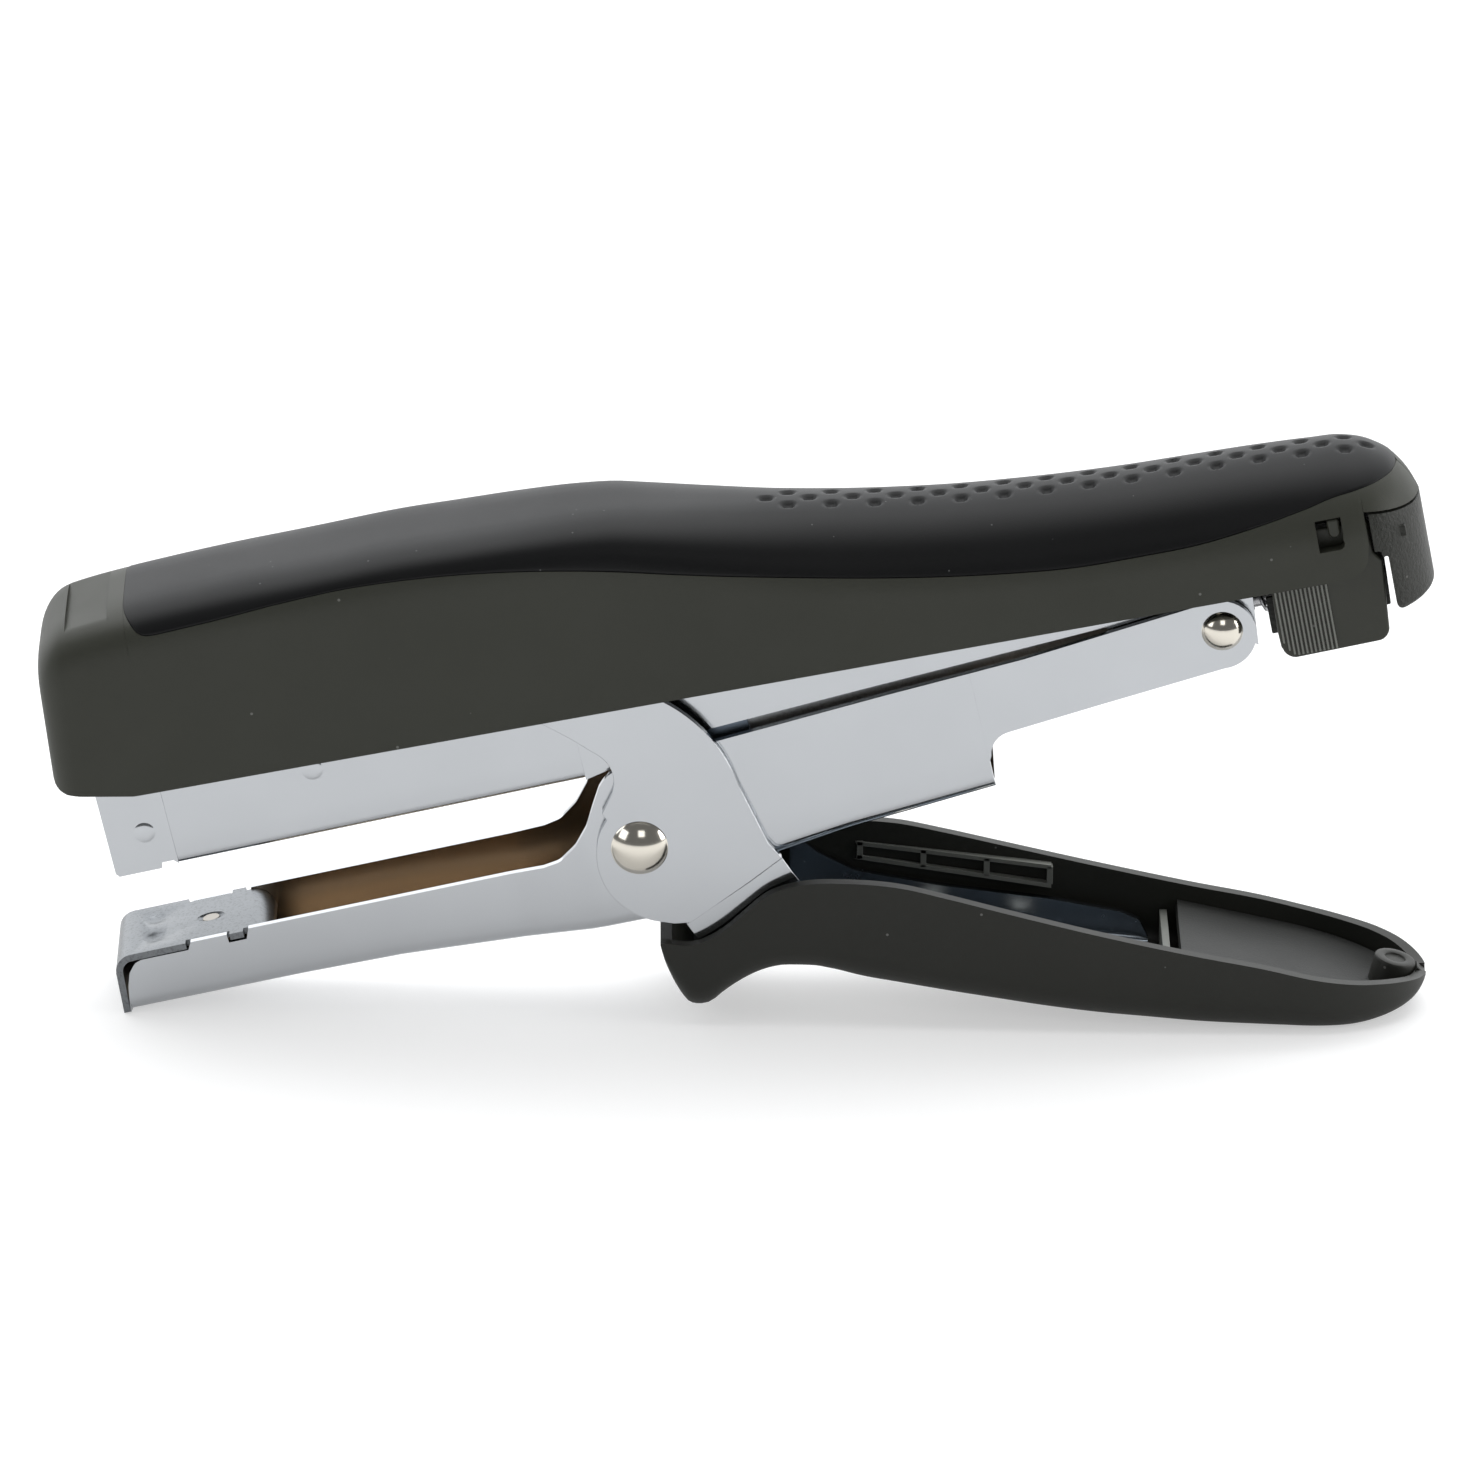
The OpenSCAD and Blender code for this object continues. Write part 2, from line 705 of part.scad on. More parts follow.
// The top of the lever's floor at x, turned to its slope
module at_handle_rivet(x) {
    translate([x, 0, height(lever_floor, x)]) rotate([0, floor_slope, 0])
        translate([0, 0, lever_sheet * cos(floor_slope)]) children();
}

handle_rim = [
    [2.9, -13.6], [8, -13.6], [11.2, -11.7], [14.1, -9.1], [16.8, -6.6], [20, -5.1],
    [24, -4.4], [30, -4.3], [36, -5], [42, -6.4], [84, -16], [107.1, -21.2]
];
handle_low = [
    [106.4, -22.8], [104, -24.4], [100, -25.5], [92, -centre_z], [75, -25.2], [62, -24],
    [50, -22.5], [36, -20.4], [28, -18.8], [21.7, -17.8], [16, -18.9], [12, -21.4]
];

module handle_side() {
    polygon(concat(handle_rim, handle_low, arc(8.2, -21.2, 2.6, -30, -160, 8), [[4, -17.6]]));
}

module handle_plan(inset) {
    half = handle_half - inset;
    polygon(concat(
        [[2.5 + inset, -half + 1.6], [35, -half + 0.9], [62, -half + 0.1]],
        [for (a = [-80:10:80]) [90 + (17.1 - inset) * cos(a), half * sin(a)]],
        [[62, half - 0.1], [35, half - 0.9], [2.5 + inset, half - 1.6]]));
}

// Floor line inside the shell, a wall above its outer line
module handle_cavity_side() {
    lift = handle_wall + 0.15;
    polygon(concat(
        [[4.9, 0], [4.9, -15.8], [12, -15.5], [18, -15.5]],
        [for (i = [9:-1:1]) handle_low[i] + [0, lift]],
        [[106, -22.6 + lift], [108, 0]]));
}

module lower_handle() {
    axis_tilt = 12.8;
    color(olive) at_centre() difference() {
        union() {
            difference() {
                intersection() {
                    slab(-handle_half, handle_half) handle_side();
                    translate([0, 0, -40]) linear_extrude(50) handle_plan(0);
                }
                intersection() {
                    slab(-handle_half, handle_half) handle_cavity_side();
                    translate([0, 0, -40]) linear_extrude(50) handle_plan(handle_wall);
                }
            }
            intersection() {
                slab(-handle_half + 1, handle_half - 1) polygon([
                    [73.6, -18], [74.6, -17.9], [104.5, -24.4], [104.5, -25], [72.9, -24.4]
                ]);
                translate([0, 0, -40]) linear_extrude(50) handle_plan(handle_wall - 0.3);
            }
            translate([103, 0, -19.7]) rotate([0, axis_tilt, 0]) translate([0, 0, -4.6])
                cylinder(r = 2.9, h = 4.6);
            for (x = [30.6, 38.6, 47.4, 56])
                mirrored_block(x, x + 0.8, 9.75, 11.4, -11.4 - (x - 30) * 0.18, -8 - (x - 30) * 0.18);
        }
        translate([103, 0, -19.7]) rotate([0, axis_tilt, 0]) translate([0, 0, -10])
            cylinder(r = tip_hole, h = 20);
        for (x = rivet_places) at_handle_rivet(x) translate([0, 0, -9]) cylinder(r = 1.5, h = 10);
    }
}

module handle_rivets() {
    color(nickel) at_centre() for (x = rivet_places) at_handle_rivet(x) {
        translate([0, 0, -3.1]) cylinder(r = 1.48, h = 3.2);
        translate([0, 0, 0.02]) cylinder(r1 = 2.6, r2 = 1.8, h = 0.7);
    }
}

top_cover();
grip_insert();
upper_frame();
driver_blade();
driver_rivets();
drive_pin();
drive_rollers();
cover_pivot_pin();
frame_screws();
magazine_channel();
staple_rail();
staple_strip();
rear_rivets();
magazine_spring();
throat_spring();
follower();
pusher_spring();
rear_plug();
guide_rod();
left_release_tab();
right_release_tab();
anvil_arm();
anvil_cap();
anvil_rivet();
centre_rivet();
centre_spacer();
lower_lever();
lower_handle();
handle_rivets();
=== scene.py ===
"""Plier stapler: finished surfaces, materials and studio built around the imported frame.

Lengths inside the script are millimetres in side-view axes: u runs from nose to grips, y to the
right-hand side, w upwards. Each moving group has its own tilted axes. Meshes are written in metres.
"""

import json
import math

import bmesh
import bpy
import numpy as np
from bpy.props import FloatProperty, FloatVectorProperty, IntProperty, PointerProperty
from mathutils import Matrix, Vector


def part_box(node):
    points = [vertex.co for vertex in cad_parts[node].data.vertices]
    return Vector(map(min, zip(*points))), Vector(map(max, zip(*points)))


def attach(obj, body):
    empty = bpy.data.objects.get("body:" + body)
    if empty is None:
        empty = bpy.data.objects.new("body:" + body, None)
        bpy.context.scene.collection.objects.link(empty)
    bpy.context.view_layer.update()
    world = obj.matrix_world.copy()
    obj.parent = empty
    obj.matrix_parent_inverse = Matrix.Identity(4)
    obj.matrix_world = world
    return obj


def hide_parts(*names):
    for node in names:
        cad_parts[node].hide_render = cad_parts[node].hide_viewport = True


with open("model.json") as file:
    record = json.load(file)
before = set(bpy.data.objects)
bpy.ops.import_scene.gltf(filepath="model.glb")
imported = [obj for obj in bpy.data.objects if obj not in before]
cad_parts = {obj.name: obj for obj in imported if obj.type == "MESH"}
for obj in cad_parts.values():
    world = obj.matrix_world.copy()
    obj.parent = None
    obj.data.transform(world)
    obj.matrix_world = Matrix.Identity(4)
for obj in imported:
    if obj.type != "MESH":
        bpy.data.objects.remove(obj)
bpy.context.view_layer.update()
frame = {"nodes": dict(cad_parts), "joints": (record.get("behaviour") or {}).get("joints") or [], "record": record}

bl_info = {
    "name": "Plier stapler",
    "version": (1, 0, 0),
    "blender": (4, 5, 0),
    "location": "View3D > Sidebar > Stapler",
    "description": "Builds the finished surfaces of a plier stapler around its jointed frame",
    "category": "Object",
}

MM = 0.001
WELD = 0.001 * MM
JOINTS = {joint["name"]: joint for joint in frame["joints"]}
MOUNTS = {mount["name"]: mount for mount in frame["record"]["mounts"]}


def point(joint):
    """A joint's place in X and Z, in millimetres."""
    x, _, z = JOINTS[joint]["pos_m"]
    return x / MM, z / MM


def slope(axis):
    """Tilt, in degrees, of a direction that leans back from +Z."""
    return math.degrees(math.atan2(abs(axis[0]), abs(axis[2])))


class Axes:
    """Side-view axes turned by a tilt about a pivot.

    x = px + u cos - w sin and z = pz + u sin + w cos; y is kept.
    """

    def __init__(self, pivot, tilt):
        self.pivot = pivot
        self.cos = math.cos(math.radians(tilt))
        self.sin = math.sin(math.radians(tilt))

    def place(self, u, y, w):
        u, y, w = np.broadcast_arrays(
            np.asarray(u, float), np.asarray(y, float), np.asarray(w, float)
        )
        x = self.pivot[0] + u * self.cos - w * self.sin
        z = self.pivot[1] + u * self.sin + w * self.cos
        return np.stack([x, y, z], -1)


MAGAZINE_TILT = 90 - slope(JOINTS["plug_slide"]["axis"])
COVER_TILT = slope(JOINTS["left_tab_squeeze"]["axis"])
ARM_TILT = slope(MOUNTS["anvil_face"]["axis"])
REAR = point("anvil_pivot")
COVER = Axes(REAR, COVER_TILT)
MAGAZINE = Axes(REAR, MAGAZINE_TILT)
ARM = Axes(REAR, ARM_TILT)
LEVER = Axes(point("handle_pivot"), 0)


# ---- shape tools ----


def arc(u, w, r, start, stop, steps=8):
    """Points (u + r cos a, w + r sin a) for a from start to stop degrees."""
    a = np.radians(np.linspace(start, stop, steps + 1))
    return np.stack([u + r * np.cos(a), w + r * np.sin(a)], -1)


def curve(points):
    """Smooth line through (u, w) points: cubic Hermite pieces with limited centred slopes."""
    knots = np.array(points, float)
    x, y = knots[:, 0], knots[:, 1]
    step = np.diff(x)
    rise = np.diff(y) / step
    inner = (rise[:-1] * step[1:] + rise[1:] * step[:-1]) / (step[:-1] + step[1:])
    inner = np.where(rise[:-1] * rise[1:] <= 0, inner * 0.3, inner)
    tangent = np.concatenate([rise[:1], inner, rise[-1:]])

    def at(value):
        value = np.clip(value, x[0], x[-1])
        k = np.clip(np.searchsorted(x, value, side="right") - 1, 0, len(step) - 1)
        t = (value - x[k]) / step[k]
        a = (1 + 2 * t) * (1 - t) ** 2 * y[k] + t * (1 - t) ** 2 * step[k] * tangent[k]
        b = t * t * (3 - 2 * t) * y[k + 1] + t * t * (t - 1) * step[k] * tangent[k + 1]
        return a + b

    return at


def line(points):
    """Straight pieces through (u, w) points."""
    knots = np.array(points, float)
    return lambda value: np.interp(value, knots[:, 0], knots[:, 1])


def ease(t):
    """Smooth step 3t^2 - 2t^3, held between 0 and 1."""
    t = np.clip(t, 0, 1)
    return t * t * (3 - 2 * t)


def mirrored(y, w):
    """Carries rows that run from the near side to the mid plane on to the far side."""
    return np.concatenate([y, -y[:, -2::-1]], 1), np.concatenate([w, w[:, -2::-1]], 1)


def both_hands(side, near, far):
    """The y range from near to far on one side, smaller value first."""
    return sorted((side * near, side * far))


class Shape:
    """Collects grids and outlines in millimetres and turns them into one mesh object."""

    def __init__(self):
        self.points = []
        self.faces = []
        self.count = 0

    def add(self, points):
        points = np.asarray(points, float).reshape(-1, 3)
        first = self.count
        self.points.append(points)
        self.count += len(points)
        return first

    def grid(self, points, wrap=False):
        """Four-sided faces between the rows and columns of a grid; wrap closes each row."""
        rows, columns = points.shape[:2]
        index = self.add(points) + np.arange(rows * columns).reshape(rows, columns)
        if wrap:
            index = np.concatenate([index, index[:, :1]], 1)
        cells = np.stack([index[:-1, :-1], index[1:, :-1], index[1:, 1:], index[:-1, 1:]], -1)
        self.faces += cells.reshape(-1, 4).tolist()
        return index

    def tube(self, points):
        """A grid wrapped round, with a flat face over its first and last rows."""
        index = self.grid(points, wrap=True)
        self.faces.append(index[0, :-1].tolist())
        self.faces.append(index[-1, :-1][::-1].tolist())

    def plate(self, axes, outline, y0, y1):
        """An outline in u and w, carried straight from y0 to y1."""
        outline = np.asarray(outline, float)
        ys = np.array([y0, y1])[:, None]
        self.tube(axes.place(outline[None, :, 0], ys, outline[None, :, 1]))

    def plates(self, axes, outline, y0, y1):
        """The same plate on both sides."""
        self.plate(axes, outline, y0, y1)
        self.plate(axes, outline, -y1, -y0)

    def block(self, axes, u, y, w):
        """A box between two values of u, y and w."""
        self.plate(axes, [(u[0], w[0]), (u[1], w[0]), (u[1], w[1]), (u[0], w[1])], *y)

    def spin(self, axes, centre, profile, side=-1, steps=48):
        """A profile of (radius, height) turned about a line along y; side is the way it points."""
        a = np.linspace(0, 2 * np.pi, steps, endpoint=False)[None, :]
        r = np.array([p[0] for p in profile])[:, None]
        y = side * np.array([p[1] for p in profile])[:, None]
        u = centre[0] + r * np.cos(a)
        w = centre[1] + r * np.sin(a)
        self.tube(axes.place(u, np.broadcast_to(y, u.shape), w))

    def post(self, axes, centre, profile, steps=40, tilt=0):
        """A profile of (radius, height) turned about a line along w, leaned over by tilt."""
        a = np.linspace(0, 2 * np.pi, steps, endpoint=False)[None, :]
        r = np.array([p[0] for p in profile])[:, None]
        h = np.array([p[1] for p in profile])[:, None]
        lean = math.radians(tilt)
        u = centre[0] + r * np.cos(a) * math.cos(lean) + h * math.sin(lean)
        w = centre[1] - r * np.cos(a) * math.sin(lean) + h * math.cos(lean)
        self.tube(axes.place(u, r * np.sin(a), w))

    def shell(self, outer, inner):
        """Closes two grids of the same size into a wall: all four rims are joined."""
        a = self.grid(outer)
        b = self.grid(inner)
        for row in (0, -1):
            self.strip(a[row], b[row])
        for side in (0, -1):
            self.strip(a[:, side], b[:, side])

    def strip(self, a, b):
        """Four-sided faces between two lines of the same number of points."""
        self.faces += np.stack([a[:-1], a[1:], b[1:], b[:-1]], -1).tolist()

    def build(self, name, angle=35):
        """One mesh object: doubles merged, faces outwards, smooth below an edge angle."""
        mesh = bpy.data.meshes.new(name)
        mesh.from_pydata((np.concatenate(self.points) * MM).tolist(), [], self.faces)
        work = bmesh.new()
        work.from_mesh(mesh)
        bmesh.ops.remove_doubles(work, verts=work.verts, dist=WELD)
        bmesh.ops.dissolve_degenerate(work, edges=work.edges, dist=WELD * 0.1)
        bmesh.ops.recalc_face_normals(work, faces=work.faces)
        work.to_mesh(mesh)
        work.free()
        mesh.shade_smooth()
        mesh.set_sharp_from_angle(angle=math.radians(angle))
        piece = bpy.data.objects.new(name, mesh)
        bpy.context.scene.collection.objects.link(piece)
        return piece


def thicken(piece, depth):
    """Gives an open sheet its wall, to the inside of its faces."""
    wall = piece.modifiers.new("wall", "SOLIDIFY")
    wall.thickness = depth * MM
    wall.offset = -1
    wall.use_even_offset = True
    wall.use_quality_normals = True


def soften(piece, width, segments=2, angle=40):
    """Rounds the edges that are sharper than an angle."""
    edge = piece.modifiers.new("edges", "BEVEL")
    edge.width = width * MM
    edge.segments = segments
    edge.limit_method = "ANGLE"
    edge.angle_limit = math.radians(angle)
    edge.harden_normals = True
    edge.use_clamp_overlap = True


def finish(piece, body, node, material):
    """Puts a piece on its body, in the place of its CAD node, with its material."""
    piece.data.materials.clear()
    piece.data.materials.append(material)
    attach(piece, body)
    for name in [node] if isinstance(node, str) else node:
        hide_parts(name)
    return piece


# ---- materials ----


class Value:
    """A shader socket that can be used in Python arithmetic."""

    def __init__(self, tree, socket):
        self.tree = tree
        self.socket = socket

    def _math(self, operation, a, b):
        return self.tree.node("ShaderNodeMath", {"operation": operation}, {0: a, 1: b})

    def __add__(self, other):
        return self._math("ADD", self, other)

    def __radd__(self, other):
        return self._math("ADD", other, self)

    def __sub__(self, other):
        return self._math("SUBTRACT", self, other)

    def __rsub__(self, other):
        return self._math("SUBTRACT", other, self)

    def __mul__(self, other):
        return self._math("MULTIPLY", self, other)

    def __rmul__(self, other):
        return self._math("MULTIPLY", other, self)

    def above(self, edge, width):
        """0 below the edge, 1 above it, over a soft width."""
        return self.tree.node(
            "ShaderNodeMapRange",
            {"interpolation_type": "SMOOTHSTEP"},
            {"Value": self, "From Min": edge - width / 2, "From Max": edge + width / 2},
        )


MIX_SHARE, MIX_LOW, MIX_HIGH, MIX_COLOUR = 0, 6, 7, 2


class Finish:
    """One material: a Principled shader and the nodes that feed it."""

    def __init__(self, name, **constants):
        self.material = bpy.data.materials.new(name)
        self.material.use_nodes = True
        self.nodes = self.material.node_tree.nodes
        self.links = self.material.node_tree.links
        self.shader = self.nodes["Principled BSDF"]
        for key, value in constants.items():
            socket = self.shader.inputs[key.replace("_", " ")]
            socket.default_value = (*value, 1) if isinstance(value, tuple) else value
        self.place = self.node("ShaderNodeTexCoord", {}, {}, "Object")

    def node(self, kind, settings, values, output=0):
        """Adds a node: its settings first, then the values or links of its sockets."""
        made = self.nodes.new(kind)
        for key, value in settings.items():
            setattr(made, key, value)
        for key, value in values.items():
            if isinstance(value, Value):
                self.links.new(value.socket, made.inputs[key])
            else:
                made.inputs[key].default_value = value
        return Value(self, made.outputs[output])

    def feed(self, name, value):
        self.links.new(value.socket, self.shader.inputs[name])

    def stretch(self, x=1.0, y=1.0, z=1.0, turn=0.0):
        """Object coordinates in millimetres, turned about y and then scaled along each axis."""
        values = {"Vector": self.place, "Rotation": (0, math.radians(turn), 0)}
        turned = self.node("ShaderNodeMapping", {}, values)
        values = {"Vector": turned, "Scale": (x / MM, y / MM, z / MM)}
        return self.node("ShaderNodeMapping", {}, values)

    def noise(self, size, detail=2.0, rough=0.5, at=None):
        """Soft noise whose patches are about size millimetres wide."""
        values = {
            "Vector": at or self.stretch(),
            "Scale": 1 / size,
            "Detail": detail,
            "Roughness": rough,
        }
        return self.node("ShaderNodeTexNoise", {}, values)

    def cells(self, size):
        """Distance to the nearest of points scattered about size millimetres apart."""
        values = {"Vector": self.stretch(), "Scale": 1 / size}
        return self.node("ShaderNodeTexVoronoi", {}, values, "Distance")

    def mix(self, share, low, high):
        """A colour between two: low where share is 0, high where it is 1."""
        low, high = ((*c, 1) if isinstance(c, tuple) else c for c in (low, high))
        values = {MIX_SHARE: share, MIX_LOW: low, MIX_HIGH: high}
        return self.node("ShaderNodeMix", {"data_type": "RGBA"}, values, MIX_COLOUR)

    def bump(self, height, depth):
        """Surface relief of about depth millimetres."""
        values = {"Height": height, "Distance": depth * MM, "Strength": 1.0}
        self.feed("Normal", self.node("ShaderNodeBump", {}, values))


MATERIALS = {}


def shade(colour, factor):
    """A colour made lighter or darker, no channel above 1."""
    return tuple(min(1, channel * factor) for channel in colour)


def moulded(name, colour, grain, depth, rough, sheen=0.5):
    """Moulded plastic: spark-eroded grain, faint flow marks and a few pale dust specks."""
    f = Finish(name, Base_Color=colour, Roughness=rough, Specular_IOR_Level=sheen)
    pits = f.noise(grain, 3.0, 0.6)
    flow = f.noise(38, 2.0)
    dust = 1 - f.cells(5.5).above(0.035, 0.02)
    tone = f.mix(flow, shade(colour, 0.86), shade(colour, 1.12))
    f.feed("Base Color", f.mix(dust * 0.25, tone, (0.42, 0.42, 0.40)))
    f.feed("Roughness", f.noise(9, 3.0) * 0.12 + (rough - 0.06) + pits * 0.05)
    f.bump(pits, depth)
    return f.material


def soft_rubber(name, colour):
    """Black moulded rubber: dull, finely grained, with rubbed patches and lint."""
    f = Finish(name, Base_Color=colour, Roughness=0.4, Specular_IOR_Level=0.19)
    grain = f.noise(0.16, 2.0, 0.6)
    rubbed = f.noise(17, 4.0, 0.62)
    lint = 1 - f.cells(3.1).above(0.04, 0.02)
    tone = f.mix(rubbed, shade(colour, 0.8), shade(colour, 1.5))
    f.feed("Base Color", f.mix(lint * 0.2, tone, (0.35, 0.36, 0.36)))
    f.feed("Roughness", rubbed * 0.12 + 0.36 + grain * 0.06)
    f.bump(grain, 0.012)
    return f.material


def plated(name, colour, rough, brushed=0.0, turn=0.0, speckle=0.0):
    """Plated steel: faint rolling waves, drawn lines along the sheet and small handling marks."""
    f = Finish(name, Base_Color=colour, Metallic=1.0, Roughness=rough)
    wave = f.noise(14, 2.0)
    lines = f.noise(0.5, 3.0, 0.7, f.stretch(0.02, 1, 1, turn))
    marks = f.noise(2.2, 5.0, 0.75).above(0.66, 0.06)
    tone = f.mix(wave, shade(colour, 0.95), shade(colour, 1.03))
    height = wave * 2.0 + lines * brushed
    if speckle:
        fleck = f.noise(0.42, 3.0, 0.8).above(0.56, 0.1)
        tone = f.mix(fleck * speckle, tone, shade(colour, 0.55))
        height = height + fleck * 0.2
    f.feed("Base Color", tone)
    f.feed("Roughness", marks * 0.06 + lines * (0.04 + brushed * 0.3) + (rough - 0.02))
    f.bump(height, 0.006)
    return f.material


def drawn_wire(name, colour, rough):
    """Drawn wire: fine lengthwise lines and darker oxide patches."""
    f = Finish(name, Base_Color=colour, Metallic=1.0, Roughness=rough)
    oxide = f.noise(2.5, 4.0, 0.7)
    lines = f.noise(0.12, 2.0)
    f.feed("Base Color", f.mix(oxide, shade(colour, 0.7), colour))
    f.feed("Roughness", oxide * 0.15 + (rough - 0.05))
    f.bump(lines, 0.01)
    return f.material


def paint_inside_light(piece, material, reach):
    """Gives a second material to faces that look at the mid plane, and to the floor within reach: painted
    reflection in the anvil trough, painted fill light in the handle.
    """
    piece.data.materials.append(material)
    count = len(piece.data.polygons)
    centre = np.zeros(count * 3)
    facing = np.zeros(count * 3)
    piece.data.polygons.foreach_get("center", centre)
    piece.data.polygons.foreach_get("normal", facing)
    centre, facing = centre.reshape(-1, 3), facing.reshape(-1, 3)
    floor = (facing[:, 2] > 0.3) & (np.abs(centre[:, 1]) < reach * MM)
    wall = (centre[:, 1] * facing[:, 1] < -1e-7) & (np.abs(facing[:, 1]) > 0.6)
    piece.data.polygons.foreach_set("material_index", (wall | floor).astype(np.int32))


def make_materials(colours):
    """Every finish of the stapler: the record's slots, and variants for some of their surfaces; four variants
    carry painted highlight, fill light and reflection.
    """
    cover, handle, plug, plate = (
        tuple(colour) for colour in (colours.cover, colours.handle, colours.plug, colours.plate)
    )
    MATERIALS.update(
        cover_plastic=moulded("olive cover plastic", cover, 0.17, 0.016, 0.5, 0.4),
        grip_rubber=soft_rubber("black grip rubber", tuple(colours.rubber)),
        plug_plastic=moulded("grained plug plastic", plug, 0.6, 0.2, 0.42, 0.3),
        tab_plastic=moulded("olive tab plastic", cover, 0.2, 0.02, 0.42, 0.4),
        # Tab ribs: far lighter than the tab plastic, a painted highlight for the light they catch.
        rib_plastic=moulded("rib plastic with painted highlight", (0.17, 0.175, 0.155), 0.25, 0.05, 0.3),
        handle_plastic=moulded("olive handle plastic", handle, 0.2, 0.014, 0.46, 0.3),
        # Handle inside: many times lighter than the handle plastic, painted fill light where little light gets in.
        inner_plastic=moulded("handle plastic with painted fill light", (0.15, 0.155, 0.14), 0.25, 0.02, 0.4),
        panel_plastic=moulded("grey floor plastic", (0.021, 0.022, 0.0205), 0.3, 0.03, 0.5, 0.3),
        chrome_plate=plated("bright plated steel", plate, 0.12, 0.015, ARM_TILT),
        magazine_plate=plated("magazine plate", plate, 0.15, 0.015, MAGAZINE_TILT),
        lever_plate=plated("lever plate", plate, 0.14, 0.015, 10),
        # Lever tail inside the handle: darker bluish copy of the lever plating, a painted dark reflection.
        tail_plate=plated("lever tail plate with painted dark reflection", (0.2, 0.225, 0.25), 0.24),
        # Anvil trough inside: brown-tinted plating, a painted reflection.
        trough_plate=plated("inner plate with painted brown reflection", (0.5, 0.42, 0.33), 0.2, 0.015, ARM_TILT),
        cap_zinc=plated("satin anvil zinc", (0.19, 0.2, 0.21), 0.3, 0.25, ARM_TILT, 0.6),
        dull_nickel=plated("dull nickel", (0.30, 0.28, 0.25), 0.3),
        zinc_steel=plated("satin zinc steel", (0.62, 0.64, 0.66), 0.27, 0.5, -13, 0.35),
        blued_steel=plated("blued hard steel", (0.14, 0.17, 0.21), 0.3, 0.4, -13),
        nickel=plated("polished nickel", (0.74, 0.70, 0.62), 0.15),
        spring_steel=drawn_wire("spring wire", (0.46, 0.46, 0.47), 0.28),
        staple_wire=drawn_wire("galvanised staple wire", (0.66, 0.67, 0.69), 0.25),
    )


# ---- the cover's curved body, shared by the cover, its grip and its rear ----

WALL = 1.8
REAR_FROM = 17.0
REAR_REACH = 12.2
CREST = curve(
    [
        (-153, 30), (-147.5, 30.6), (-139, 31.2), (-131, 31.6), (-118, 31.9), (-106, 32.2),
        (-98, 32), (-90, 31.8), (-81, 31.4), (-77, 31), (-73, 30.2), (-65, 28.6), (-57, 27.1),
        (-49, 25.8), (-41, 24.5), (-33, 23.4), (-25, 22.6), (-17, 22), (-9, 21.6), (0, 21.4),
        (8, 21.2), (16, 20.8), (20, 20.5), (24, 19.1), (26.8, 16.8), (28.2, 14.6), (29.2, 12.2),
    ]
)  # fmt: skip
SEAM = curve(
    [
        (-144, 28.1), (-142, 28), (-134, 28.2), (-123, 29), (-112.6, 29.4), (-104, 29.1),
        (-93, 28), (-78.6, 25.4), (-69.3, 23.1), (-58.5, 20.6), (-42.8, 17.4), (-27.7, 15.1),
        (-17.3, 14.1), (-8.6, 14), (-1.6, 14.1), (7.2, 15), (13.9, 16), (19, 16.8), (30, 16.8),
    ]
)  # fmt: skip


def body_section(u):
    """Half width a, rounding height b, springline z0 and exponent n of the body at u.

    Above the springline the section is |y / a|^n + |(w - z0) / b|^n = 1; below it the wall is
    upright. The nose is nearly square (n = 4) and the grip nearly elliptic (n = 2.1).
    """
    blend = ease((u + 95) / 50)
    n = 4 - 1.9 * blend
    b = 8 + 2.4 * blend
    half = stapler().cover_half
    round_end = np.clip((u - REAR_FROM) / REAR_REACH, 0, 1)
    shrink = (1 - round_end**n) ** (1 / n)
    z0 = np.where(u > REAR_FROM, CREST(REAR_FROM) - 10.4, CREST(u) - b)
    return half * shrink, np.where(u > REAR_FROM, CREST(u) - z0, b), z0, n


def body_point(u, t, inset=0.0):
    """Point of the body at u for t from 0 (near springline) over 0.5 (crest) to 1 (far side).

    y = -a cos|t|^(2/n), w = z0 + b sin|t|^(2/n), both drawn in by the inset.
    """
    a, b, z0, n = body_section(u)
    angle = np.pi * t
    c, s = np.cos(angle), np.sin(angle)
    y = -np.maximum(a - inset, 0) * np.sign(c) * np.abs(c) ** (2 / n)
    w = z0 + np.maximum(b - inset, 0) * np.maximum(s, 0) ** (2 / n)
    return y, w


def height_to_t(u, w):
    """The t at which the body's near side reaches height w at u (0 at or below the springline)."""
    _, b, z0, n = body_section(u)
    rise = np.clip((w - z0) / b, 0, 0.9999)
    return np.arcsin(rise ** (n / 2)) / np.pi


def stapler():
    return bpy.context.scene.stapler


def colours():
    return bpy.context.scene.stapler_colours


def refine(node, body, material, width=0.25, angle=28, name=None):
    """A CAD node's shape with merged faces, rounded edges and smooth shading."""
    mesh = frame["nodes"][node].data.copy()
    work = bmesh.new()
    work.from_mesh(mesh)
    bmesh.ops.remove_doubles(work, verts=work.verts, dist=0.002 * MM)
    bmesh.ops.dissolve_limit(
        work, angle_limit=math.radians(0.5), verts=work.verts, edges=work.edges
    )
    work.to_mesh(mesh)
    work.free()
    piece = bpy.data.objects.new(name or f"finished_{node}", mesh)
    bpy.context.scene.collection.objects.link(piece)
    mesh.shade_smooth()
    mesh.set_sharp_from_angle(angle=math.radians(angle))
    if width:
        soften(piece, width, 2, angle)
    return finish(piece, body, node, material)


